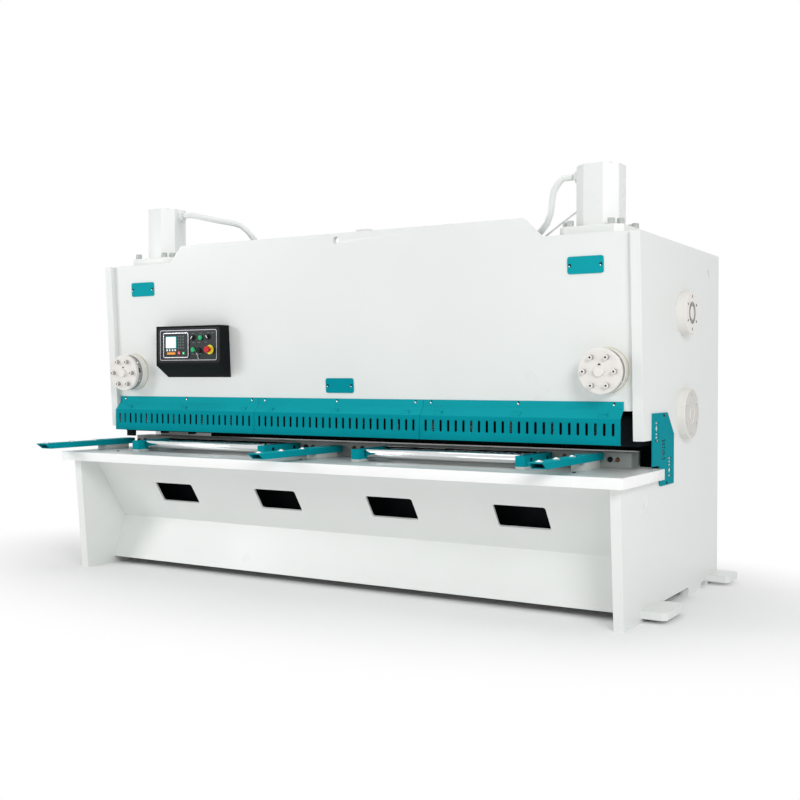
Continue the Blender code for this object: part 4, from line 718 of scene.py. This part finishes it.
class SHEAR_OT_caps(bpy.types.Operator):
    """Guide housings on the panel, with socket screws, grub screws, oil holes and seals"""
    bl_idname = "shear.caps"
    bl_label = "Front guide housings"

    head_reach: length_property("Head height", "How far the housings' screws stand out", 0.024)

    def execute(self, context):
        head = sizes().cap_screw
        lean = math.atan(sizes().lean)
        neck_z, front_z = 0.062, 0.100
        for word in ("left", "right"):
            name = "guide_cap_front_" + word
            low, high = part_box(name)
            radius = (high[0] - low[0]) / 2.0
            z = high[2] - radius * math.cos(lean)
            base = facing((middle_of(name)[0], panel_y(z) - 0.0003, z), panel_normal())
            housing = turned(name + "_finish", [
                (radius, 0.0), (radius, 0.042), (radius - 0.003, 0.045), (radius - 0.010, 0.045),
                (radius - 0.010, 0.079), (radius - 0.001, 0.079), (radius, 0.080), (radius, 0.096),
                (radius - 0.004, front_z), (0.0255, front_z), (0.0245, 0.1155), (0.022, 0.118)], 64)
            settle(housing, "cast", place=base)
            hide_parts(name)
            back = base.inverted()
            # The groove round the neck greyed as painted shade
            repaint(housing, "shade", lambda c, n: 0.044 < (back @ c).z < 0.0792 and
                    (back @ c).xy.length < radius - 0.004)
            face = base @ move(0, 0, front_z)
            ring = [face @ turn(60.0 * i) @ move(0.077, 0, 0) for i in range(6)]
            screws = spread(socket_screw("cap screw", head, self.head_reach, 0.45), name + "_screws", ring,
                            "cast")
            # Sides of the screw heads greyed as painted shade
            repaint(screws, "shade", lambda c, n: n.y > -0.5)
            pits = [m @ move(0, 0, self.head_reach * 0.45 + 0.0004) for m in ring]
            lay_plates(((name + "_sockets", (head * 0.78, head * 0.78, 0.0004, head * 0.3), "hollow", pits),
                        (name + "_oil_hole", (0.014, 0.008, 0.0006, 0.0038), "hollow",
                         [face @ move(0, 0.033, 0)])))
            neck = [base @ turn(a) @ move(radius - 0.0105, 0, neck_z) @ turn(90.0, "Y")
                    for a in (35, -28, 145, 208)]
            spread(turned("grub screw", [(0.0075, -0.001), (0.0075, 0.006), (0.006, 0.0075)], 14),
                   name + "_grub_screws", neck, "zinc")
            holes = [base @ turn(a) @ move(radius - 0.0099, 0, neck_z) @ turn(90.0, "Y")
                     for a in (90, -90, 4, 12)]
            spread(turned("oil drilling", [(0.008, -0.002), (0.008, 0.0004)], 14), name + "_drillings", holes,
                   "hollow")
            seal = turned("seal", [(radius - 0.004, 0.0001), (radius + 0.0012, 0.0001),
                                   (radius + 0.0012, 0.0022), (radius - 0.004, 0.0022)], 48)
            settle(seal, "olive", place=base)
            seal.name = name + "_seal"
        return {"FINISHED"}


class SHEAR_OT_flanges(bpy.types.Operator):
    """Guide housings on the side plates, the upper ones ringed, the lower ones dished"""
    bl_idname = "shear.flanges"
    bl_label = "Side guide housings"

    def execute(self, context):
        for place in ("upper", "lower"):
            for word, side in (("left", -1), ("right", 1)):
                self.flange(place, word, side)
        return {"FINISHED"}

    def flange(self, place, word, side):
        name = "side_flange_" + place + "_" + word
        low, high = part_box(name)
        trim, share = (0.008, 0.76) if place == "upper" else (0.0, 0.62)
        radius = (high[2] - low[2]) / 2.0 - trim
        depth = (high[0] - low[0]) * share
        y, z = middle_of(name)[1:]
        centre = (low[0] if side > 0 else high[0], y - trim, z - trim)
        base = facing(centre, (side, 0, 0))
        profile = [(radius, 0.0), (radius, depth - 0.003), (radius - 0.003, depth)]
        if place == "upper":
            profile += [(0.057, depth), (0.057, depth - 0.007), (0.037, depth - 0.007),
                        (0.037, depth - 0.001), (0.0355, depth)]
        else:
            profile += [(radius - 0.006, depth), (radius - 0.006, depth - 0.0015), (0.050, depth - 0.0015),
                        (0.048, depth - 0.0035), (0.030, depth - 0.0035), (0.027, depth - 0.0005),
                        (0.020, depth)]
        piece = turned(name + "_finish", profile, 64)
        settle(piece, "cast", place=base)
        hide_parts(name)
        outer = centre[0] + side * depth

        def out(c):
            return math.hypot(c.y - centre[1], c.z - centre[2])

        if place == "upper":
            # The sunk ring of the upper housings greyed as painted shade
            repaint(piece, "shade", lambda c, n: abs(c.x - outer) > 0.0005 and out(c) < 0.0575)
        else:
            # The dished face of the lower housings drawn darker, matt and pitted
            repaint(piece, "etched", lambda c, n: abs(c.x - outer) < 0.004 and n.x * side > 0.95 and
                    out(c) < radius - 0.006)
        repaint(piece, "olive", lambda c, n: 0.3 < n.x * side < 0.95 and c.y > centre[1] and
                out(c) > radius - 0.004)
        face = base @ move(0, 0, depth)
        spots = [face @ turn(60.0 * i + 90.0) @ move(radius * 0.76, 0, 0) for i in range(6)]
        if place == "upper":
            lay_plates(((name + "_sockets", (0.016, 0.010, 0.0006, 0.0045), "hollow",
                         [m @ move(0, 0, -0.0002) for m in spots]),
                        # The notch block in the sunk ring, greyed as painted shade like the ring
                        (name + "_notch", (0.022, 0.017, 0.0062, 0.004), "shade",
                         [face @ move(0, 0.046, -0.0068)])))
        else:
            dents = [m @ move(0, 0, -0.0015) for m in spots]
            spread(socket_screw("flange screw", 0.0085, 0.0045, 0.45, 16), name + "_screws", dents, "zinc")


class SHEAR_OT_cylinders(bpy.types.Operator):
    """Bolts and lid screws of the cylinders, and their chromed rods"""
    bl_idname = "shear.cylinders"
    bl_label = "Cylinder bolts"

    def execute(self, context):
        radius = sizes().flange_bolt
        for word in ("left", "right"):
            name = "cylinder_" + word
            low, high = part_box(name)
            x, y = middle_of("piston_rod_" + word)[:2]
            z = low[2] + 0.05
            places = [move(x + a, y + b, z) for a, b in (
                (-0.14, -0.105), (0.14, -0.105), (-0.14, 0.105), (0.14, 0.105),
                (-0.105, -0.14), (0.105, -0.14), (-0.105, 0.14), (0.105, 0.14))]
            spread(socket_screw("flange bolt", radius, 0.030, 0.45, 24), name + "_bolts", places, "pad")
            corners = [move(x + a, y + b, high[2]) for a in (-0.075, 0.075) for b in (-0.075, 0.075)]
            low_screw = socket_screw("lid screw", 0.010, 0.0004, 0.5, 16)
            spread(low_screw, name + "_lid_screws", [m @ move(0, 0, -0.0006) for m in corners],
                   "pad")
            stand_in("piston_rod_" + word, "chrome")
        return {"FINISHED"}


# Places on the control box: metres across from its left side and down from its top
LAMPS = ((0.349, 0.072), (0.291, 0.1415))
SELECTORS = ((0.288, 0.0707), (0.406, 0.068))
KEY_SWITCH = (0.336, 0.145)
STOP_BUTTON = (0.419, 0.142)
PANEL_MIDDLE = (0.249, 0.114)
CONTROLLER_MIDDLE = (0.1553, 0.114)
LABELS = ((0.288, 0.046), (0.349, 0.046), (0.406, 0.044), (0.440, 0.044), (0.291, 0.100), (0.333, 0.100),
          (0.388, 0.098), (0.288, 0.166), (0.343, 0.166))


class SHEAR_OT_controls(bpy.types.Operator):
    """Control box with its fascia, controller, keys, lamps, key switch and stop button"""
    bl_idname = "shear.controls"
    bl_label = "Control box"

    stop_reach: length_property("Stop reach", "How far the stop button stands in front of the box", 0.036)
    squeeze: bpy.props.FloatProperty(name="Width factor", default=0.976)
    shift: length_property("Front shift", "How far the front stands to the right of the back", 0.010)

    def execute(self, context):
        low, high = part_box("control_box")
        top, right = high[2], high[0]
        face_y = low[1] + self.stop_reach

        def x_of(across):
            return right + (low[0] + across - right) * self.squeeze + self.shift

        def at(across, down, reach=0.0):
            return facing((x_of(across), face_y - reach, top - down), (0, -1, 0))

        box = edit(stand_in("control_box", "black"))
        bpy.ops.transform.resize(value=(self.squeeze, 1.0, 1.0), center_override=(right, 0.0, 0.0))
        pick(box, "VERT", lambda v: v.co.y < face_y + 0.003 and
             x_of(0.0) - self.shift + 0.004 < v.co.x < right - 0.004)
        bpy.ops.transform.translate(value=(self.shift, 0.0, 0.0))
        bpy.ops.object.mode_set(mode="OBJECT")
        repaint(box, "silver", lambda c, n: n.y < -0.9 and face_y - 0.006 < c.y < face_y - 0.002)
        repaint(box, "polished", lambda c, n: n.y < -0.9 and c.y < face_y - 0.006 and c.x < x_of(0.262))
        for key, spots, radius, proud in (
                ("green", LAMPS, 0.016, 0.0001), ("rubber", (*SELECTORS, KEY_SWITCH), 0.016, 0.0001),
                ("yellow", (STOP_BUTTON,), 0.029, 0.0001), ("red", (STOP_BUTTON,), 0.0195, 0.005)):
            for across, down in spots:
                repaint(box, key, lambda c, n: c.y < face_y - proud and
                        math.hypot(c.x - x_of(across), top - c.z - down) < radius)
        self.fascia(at)
        self.controller(at)
        self.key(at)
        return {"FINISHED"}

    def fascia(self, at):
        lay_plates((
            # Rubber gasket round the fascia, its black band also the painted shadow round the fascia
            ("control_gasket", (0.478, 0.206, 0.0012, 0.016, 0.0004), "rubber", [at(*PANEL_MIDDLE, -0.0004)]),
            ("control_fascia", (0.438, 0.168, 0.0022, 0.009), "fascia", [at(*PANEL_MIDDLE, -0.0004)]),
            ("control_labels", (0.018, 0.0035, 0.0004, 0.0), "mark", [at(*spot, 0.0016) for spot in LABELS]),
            ("selector_marks", (0.0045, 0.020, 0.0008, 0.001), "white_key",
             [at(*spot, 0.018) @ turn(angle) for spot, angle in zip(SELECTORS, (-35.0, 35.0))])))
        lens = turned("lens", [(0.0118, 0.0), (0.0118, 0.001), (0.009, 0.0024), (0.005, 0.003)], 24)
        spread(lens, "lamp_lenses", [at(*spot, 0.011) for spot in LAMPS], "green")
        ring = turned("bezel", [(0.0166, 0.0), (0.0166, 0.003), (0.0148, 0.0045)], 24)
        ringed = (*LAMPS, *SELECTORS, KEY_SWITCH)
        spread(ring, "lamp_bezels", [at(*spot, 0.0012) for spot in ringed], "rubber")
        dome = turned("dome", [(0.0187, 0.0), (0.0187, 0.011), (0.0165, 0.0135), (0.012, 0.0142)], 32)
        spread(dome, "stop_dome", [at(*STOP_BUTTON, 0.0217)], "red")

    def controller(self, at):
        """Display and keys, each row named with its plate, finish and places on the controller's face"""
        face = 0.0089
        columns, rows = (0.179, 0.1965, 0.216), (0.0626, 0.0805, 0.0973, 0.1136, 0.1298)
        keys = [at(x, z, face) for x in columns for z in rows]
        lay_plates((
            ("controller_back", (0.187, 0.139, 0.0012, 0.006), "fascia",
             [at(*CONTROLLER_MIDDLE, face - 0.0012)]),
            ("display_border", (0.082, 0.069, 0.0008, 0.002), "cyan", [at(0.1185, 0.0965, face)]),
            ("display_film", (0.074, 0.064, 0.0006, 0.002), "screen", [at(0.1165, 0.0970, face + 0.0006)]),
            ("keypad_keys", (0.0135, 0.0125, 0.0008, 0.002, 0.0004), "key", keys),
            ("keypad_marks", (0.006, 0.003, 0.0004, 0.0), "mark", [m @ move(0, 0, 0.001) for m in keys]),
            ("function_keys", (0.011, 0.012, 0.0012, 0.002, 0.0004), "white_key",
             [at(x, 0.1425, face) for x in (0.087, 0.108, 0.131, 0.152)]),
            ("axis_keys", (0.0215, 0.0135, 0.0012, 0.002, 0.0004), "orange",
             [at(x, 0.1615, face) for x in (0.0975, 0.1195, 0.1415)])))
        stop = turned("stop key", [(0.0118, 0.0), (0.0118, 0.0014), (0.0105, 0.002)], 28)
        spread(stop, "stop_key", [at(0.1825, 0.1600, face)], "red")
        lay_plates((
            ("stop_key_mark", (0.010, 0.0035, 0.0004, 0.0), "white_key",
             [at(0.1845, 0.1605, face + 0.002) @ turn(-40.0)]),
            ("start_key", (0.0165, 0.0165, 0.0012, 0.003, 0.0004), "green", [at(0.2185, 0.1612, face)]),
            ("start_key_mark", (0.0085, 0.0085, 0.0004, 0.002), "white_key",
             [at(0.2185, 0.1612, face + 0.0014)])))

    def key(self, at):
        """Key in its switch, with a ring and a short chain that hangs down the fascia"""
        lay_plates((("switch_key", (0.007, 0.003, 0.022, 0.001), "silver", [at(*KEY_SWITCH, 0.010)]),))
        bow = turned("key bow", [(0.008, 0.0), (0.008, 0.0022)], 20)
        spread(bow, "key_bow", [at(0.336, 0.150, 0.032) @ turn(90.0, "Y")], "silver")
        fresh()
        bpy.ops.mesh.primitive_torus_add(major_segments=14, minor_segments=6, major_radius=0.0042,
                                         minor_radius=0.0011)
        link = edit(bpy.context.active_object)
        bpy.ops.transform.resize(value=(0.62, 1.25, 1.0))
        close_up(link, 60.0)
        path = [(0.3355, 0.160, 0.026), (0.3335, 0.167, 0.019), (0.331, 0.174, 0.012), (0.3295, 0.181, 0.008),
                (0.3315, 0.188, 0.007), (0.3335, 0.195, 0.006)]
        places = [at(*p) @ turn(70.0 * (i % 2) + 12.0, "Y") for i, p in enumerate(path)]
        spread(link, "key_chain", places, "zinc")


class SHEAR_OT_plates(bpy.types.Operator):
    """Teal cover plates with their rivets and rivet slots"""
    bl_idname = "shear.plates"
    bl_label = "Cover plates"

    def execute(self, context):
        rivets, slots = [], []
        for word in ("left", "middle", "right"):
            name = "cover_plate_" + word
            # The outer plates in the paler teal as painted light, the middle one in the plain teal
            dress(name, "teal" if word == "middle" else "fresh_teal")
            low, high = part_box(name)
            z = middle_of(name)[2]
            y = low[1] - 0.0002 + (z - low[2]) * sizes().lean
            for x in (low[0] + 0.013, high[0] - 0.013):
                rivets.append(facing((x - 0.002, y - 0.0003, z - 0.005), panel_normal()))
                slots.append(facing((x, y, z), panel_normal()))
        head = turned("rivet", [(0.0038, 0.0), (0.0038, 0.0012), (0.0026, 0.0024)], 14)
        spread(head, "cover_plate_rivets", rivets, "zinc")
        lay_plates((("cover_plate_slots", (0.014, 0.015, 0.0004, 0.004), "pit", slots),))
        return {"FINISHED"}


class SHEAR_OT_arms(bpy.types.Operator):
    """Support arms with transfer balls and their feet"""
    bl_idname = "shear.arms"
    bl_label = "Support arms"

    def execute(self, context):
        ball = sizes().ball
        bed_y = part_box("bed_block")[0][1]
        table_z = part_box("table_top")[1][2]
        for word in ("left", "middle", "right"):
            name = "support_arm_" + word
            arm = stand_in(name, "teal")
            # Tops of the arms in the paler teal: painted light from above
            repaint(arm, "fresh_teal", lambda c, n: n.z > 0.5)
            low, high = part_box(name)
            x = middle_of(name)[0]
            self.round_rear(arm, high[1])
            lid = high[2] - 0.005
            places = [move(x, low[1] + 0.045 + 0.19 * i, lid) for i in range(3)]
            dome = [(ball * math.cos(math.radians(a)), 0.0035 + ball * math.sin(math.radians(a)) * 0.55)
                    for a in (0, 20, 40, 60, 78)]
            unit = turned("transfer ball", [(0.0188, 0.0), (0.0188, 0.0035), (0.0165, 0.0055),
                                            (0.0145, 0.0055), (0.0140, 0.0035)] + dome, 28)
            spread(unit, name + "_balls", places, "zinc")
            bottom = high[2] - 0.002 - 0.034
            foot = block(name + "_foot", (0.0706, 0.1956, bottom - table_z - 0.0004), 0.001)
            settle(foot, "pad", place=move(x, bed_y - 0.1575, (bottom + table_z) / 2.0))
        return {"FINISHED"}

    def round_rear(self, arm, rear):
        """Round the arm's rear corners over, as the bent and ground sheet has them"""
        def upright_at_rear(part):
            a, b = (end.co for end in part.verts)
            return abs(a.x - b.x) < 1e-5 and abs(a.y - b.y) < 1e-5 and a.y > rear - 0.03

        pick(edit(arm), "EDGE", upright_at_rear)
        bpy.ops.mesh.bevel(offset=0.014, segments=4, affect="EDGES", clamp_overlap=True)
        close_up(arm)


class SHEAR_OT_rollers(bpy.types.Operator):
    """Chromed rollers, their brackets with closing plates and pads, and the axle ends"""
    bl_idname = "shear.rollers"
    bl_label = "Roller frames"

    reach: length_property("Barrel reach", "How much longer each end of a barrel is", 0.020)
    sheet: length_property("Cover thickness", "Plate that closes a bracket", 0.004)
    channel: length_property("Bracket height", "Depth of a roller bracket's channel", 0.052)

    def execute(self, context):
        for index in range(1, 5):
            self.lengthen(stand_in("roller_" + str(index), "chrome", 0.001), "roller_" + str(index))
        table_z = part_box("table_top")[1][2]
        ends = []
        for word in ("left", "right"):
            for place, side in (("outer", -1), ("inner", 1)):
                name = "roller_bracket_" + word + "_" + place
                # Tops of the brackets in the paler teal: painted light from above
                repaint(stand_in(name, "teal"), "fresh_teal", lambda c, n: n.z > 0.5)
                low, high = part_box(name)
                bottom = high[2] - self.channel
                pad = block(name + "_pad", (high[0] - low[0] - 0.0014, high[1] - low[1] - 0.0014,
                                            bottom - table_z - 0.0004), 0.001)
                settle(pad, "pad", place=move(*middle_of(name)[:2], (bottom + table_z) / 2.0))
                wall = low[0] if side < 0 else high[0]
                self.close_side(name, low, high, side)
                for number in (1, 2) if word == "left" else (3, 4):
                    ends.append(facing((wall, *middle_of("roller_" + str(number))[1:]), (side, 0, 0)))
        cap = turned("axle end", [(0.0105, -0.0004), (0.0105, 0.0012), (0.0085, 0.002)], 20)
        spread(cap, "roller_axle_ends", ends, "oxide")
        return {"FINISHED"}

    def lengthen(self, roller, name):
        """Carry the chromed barrel up to the brackets' inner plates"""
        middle = middle_of(name)
        half = max(abs(v.co.x - middle[0]) for v in roller.data.vertices
                   if math.hypot(v.co.y - middle[1], v.co.z - middle[2]) > 0.02)
        edit(roller)
        for side in (-1, 1):
            pick(roller, "VERT", lambda v: abs((v.co.x - middle[0]) * side - half) < 0.002)
            bpy.ops.transform.translate(value=(side * self.reach, 0.0, 0.0))
        close_up(roller)

    def close_side(self, name, low, high, side):
        """Plate that closes the bracket's channel, bored for the two rollers' journals"""
        inner = (high[0] if side < 0 else low[0]) - self.sheet / 2.0 * -side
        top, bottom = high[2], high[2] - self.channel
        cover = block(name + "_cover", (self.sheet, high[1] - low[1] - 0.0125, top - bottom - 0.001), 0.0008)
        cover.data.transform(move(inner, (low[1] + high[1]) / 2.0, (top + bottom) / 2.0))
        for roller in ("roller_1", "roller_2"):
            bore = turned("journal bore", [(0.0145, -0.02), (0.0145, 0.02)], 28)
            bore.data.transform(facing((inner, *middle_of(roller)[1:]), (1, 0, 0)))
            cut = cover.modifiers.new("bore", "BOOLEAN")
            cut.operation = "DIFFERENCE"
            cut.object = bore
            take(cover)
            bpy.ops.object.modifier_apply(modifier=cut.name)
            bpy.data.objects.remove(bore, do_unlink=True)
        settle(cover, "teal")


class SHEAR_OT_scale(bpy.types.Operator):
    """Slotted bracket on the right side plate, with its screws"""
    bl_idname = "shear.scale"
    bl_label = "Scale bracket"

    def execute(self, context):
        dress("scale_bracket", "teal")
        x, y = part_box("scale_bracket")[1][:2]
        table_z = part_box("table_top")[1][2]
        places = [facing((x, y + dy, table_z + dz), (1, 0, 0))
                  for dy, dz in ((-0.165, 0.257), (-0.117, -0.078))]
        spread(socket_screw("scale screw", 0.0075, 0.004, 0.5, 16), "scale_bracket_screws", places, "oxide")
        return {"FINISHED"}


class SHEAR_OT_inner(bpy.types.Operator):
    """Ram, hold-down with its springs and lug, back gauge with its screws and stop bar"""
    bl_idname = "shear.inner"
    bl_label = "Ram and back gauge"

    gauge_face: length_property("Gauge face", "Depth of the back gauge's front face", 0.404)
    foot_pitch: length_property("Foot pitch", "Step from one hold-down foot to the next", 0.2265)

    def execute(self, context):
        for name in ("hold_down_beam", "ram_beam", "back_gauge"):
            dress(name, "soot")
        dress("upper_blade", "blade")
        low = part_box("hold_down_beam")[0]
        middle = middle_of("hold_down_beam")[0]
        coil = [move(0.0, 0.0, 0.0095 * i) for i in range(8)]
        fresh()
        bpy.ops.mesh.primitive_torus_add(major_segments=18, minor_segments=6, major_radius=0.0125,
                                         minor_radius=0.0022)
        spring = spread(context.active_object, "hold_down_spring", coil, "zinc")
        feet = [middle + self.foot_pitch * (i - 6.5) for i in range(14)]
        spread(spring, "hold_down_springs", [move(x, low[1] - 0.016, 0.868) for x in feet], "zinc")
        wells = [facing((x, low[1], 0.905), (0, -1, 0)) for x in feet]
        lay_plates((("hold_down_wells", (0.046, 0.10, 0.0008, 0.006), "pit", wells),))
        bed_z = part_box("bed_block")[1][2]
        guard_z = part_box("guard_left")[0][2]
        lug = block("hold_down_lug", (0.066, 0.014, guard_z + 0.03 - bed_z), 0.001)
        settle(lug, "soot", place=move(low[0] + 0.0525, low[1] - 0.0072, (guard_z + 0.03 + bed_z) / 2.0))
        gauge_low, gauge_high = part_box("back_gauge")
        stop_low, stop_high = 0.745, bed_z + 0.045
        stop_length = gauge_high[0] - gauge_low[0] - 0.01
        stop = block("gauge_stop_bar", (stop_length, 0.010, stop_high - stop_low), 0.001)
        settle(stop, "soot", place=move(middle_of("back_gauge")[0], self.gauge_face - 0.0051,
                                        (stop_high + stop_low) / 2.0))
        bed_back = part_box("bed_beam")[1][1]
        for word, side in (("left", -1), ("right", 1)):
            screw = turned("gauge_screw_" + word, [(0.0128, 0.002), (0.0128, 0.80)], 24)
            settle(screw, "thread", place=facing((side * 1.06, bed_back, 0.53), (0, 1, 0)))
        return {"FINISHED"}


class SHEAR_OT_hydraulics(bpy.types.Operator):
    """Pump motor, valve block, the tank's fittings and the drain line behind the panel"""
    bl_idname = "shear.hydraulics"
    bl_label = "Hydraulic unit"

    def execute(self, context):
        stand_in("pump_motor", "white", 0.0008)
        dress("valve_block", "ground")
        break_edges("valve_block")
        low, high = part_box("oil_tank")
        top = high[2]
        cap = turned("tank_breather", [(0.028, 0.0), (0.028, 0.012), (0.020, 0.014), (0.020, 0.030),
                                       (0.036, 0.034), (0.036, 0.060), (0.030, 0.066)], 32)
        settle(cap, "zinc", place=move(high[0] - 0.16, high[1] - 0.12, top))
        bolts = [move(x, y, top) for x in (low[0] + 0.03, -0.3, 0.0, 0.3, high[0] - 0.03)
                 for y in (low[1] + 0.02, high[1] - 0.02)]
        spread(socket_screw("lid bolt", 0.008, 0.008, 0.5, 12), "tank_lid_bolts", bolts, "zinc")
        half = middle_of("oil_tank")[2]
        lay_plates((("tank_level_gauge", (0.036, 0.16, 0.016, 0.010, 0.003), "silver",
                     [facing((0.36, high[1] - 0.02, half), (0, 1, 0))]),
                    ("tank_level_glass", (0.014, 0.12, 0.004, 0.006, 0.001), "glass",
                     [facing((0.36, high[1] - 0.001, half), (0, 1, 0))])))
        drain = socket_screw("tank_drain_plug", 0.018, 0.012, 0.45)
        settle(drain, "zinc", place=facing((-0.42, high[1] - 0.02, low[2] + 0.05), (0, 1, 0)))
        low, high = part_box("valve_block")
        middle = middle_of("valve_block")
        coil = turned("valve coil", [(0.022, 0.0), (0.022, 0.004), (0.024, 0.005), (0.024, 0.055),
                                     (0.022, 0.058), (0.010, 0.058), (0.010, 0.070), (0.008, 0.072)], 28)
        spread(coil, "valve_coils", [facing((middle[0] + dx, high[1], middle[2] + 0.02), (0, 1, 0))
                                     for dx in (-0.06, 0.06)], "oxide")
        fresh()
        bpy.ops.curve.primitive_bezier_curve_add(radius=1.0, location=(0, 0, 0))
        line = context.active_object
        tank_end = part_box("oil_tank")[1][0] - 0.0115
        x, y = middle_of("cylinder_right")[:2]
        start = Vector((x - 0.109, y, 1.992))
        end = Vector((tank_end, start.y + 0.335, 1.66))
        points = line.data.splines[0].bezier_points
        pull = Vector((-0.22, 0.09, -0.10))
        for point, place in zip(points, (start, end)):
            point.co = place
            point.handle_left_type = point.handle_right_type = "FREE"
            point.handle_left = place - pull
            point.handle_right = place + pull
        line.data.dimensions = "3D"
        line.data.bevel_depth = 0.005
        line.data.use_fill_caps = True
        take(line)
        bpy.ops.object.convert(target="MESH")
        line = context.active_object
        line.name = "drain_line"
        settle(line, "white")
        nut = turned("hose nut", [(0.026, 0.0), (0.026, 0.018), (0.022, 0.021)], 6)
        ports = [facing((x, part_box(pipe)[1][1] - 0.0175, middle[2]), (side, 0, 0))
                 for pipe, x, side in (("pipe_left", low[0], -1), ("pipe_right", high[0], 1))]
        spread(nut, "valve_port_nuts", ports, "zinc")
        return {"FINISHED"}


class SHEAR_PT_panel(bpy.types.Panel):
    bl_idname = "SHEAR_PT_panel"
    bl_label = "Guillotine shear"
    bl_space_type = "VIEW_3D"
    bl_region_type = "UI"
    bl_category = "Shear"

    def draw(self, context):
        for operator in OPERATORS:
            self.layout.operator(operator.bl_idname)


OPERATORS = (SHEAR_OT_stage, SHEAR_OT_frame, SHEAR_OT_table, SHEAR_OT_guard, SHEAR_OT_caps, SHEAR_OT_flanges,
             SHEAR_OT_cylinders, SHEAR_OT_controls, SHEAR_OT_plates, SHEAR_OT_arms, SHEAR_OT_rollers,
             SHEAR_OT_scale, SHEAR_OT_inner, SHEAR_OT_hydraulics)
CLASSES = (ShearPaint, ShearSizes, *OPERATORS, SHEAR_PT_panel)


def register():
    for item in CLASSES:
        bpy.utils.register_class(item)
    bpy.types.Scene.shear_paint = bpy.props.PointerProperty(type=ShearPaint)
    bpy.types.Scene.shear_sizes = bpy.props.PointerProperty(type=ShearSizes)


def unregister():
    del bpy.types.Scene.shear_sizes
    del bpy.types.Scene.shear_paint
    for item in reversed(CLASSES):
        bpy.utils.unregister_class(item)


def main():
    register()
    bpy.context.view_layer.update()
    bpy.ops.shear.stage()
    bpy.ops.shear.frame()
    bpy.ops.shear.table()
    bpy.ops.shear.guard()
    bpy.ops.shear.caps()
    bpy.ops.shear.flanges()
    bpy.ops.shear.cylinders()
    bpy.ops.shear.controls()
    bpy.ops.shear.plates()
    bpy.ops.shear.arms()
    bpy.ops.shear.rollers()
    bpy.ops.shear.scale()
    bpy.ops.shear.inner()
    bpy.ops.shear.hydraulics()


if __name__ == "__main__":
    main()
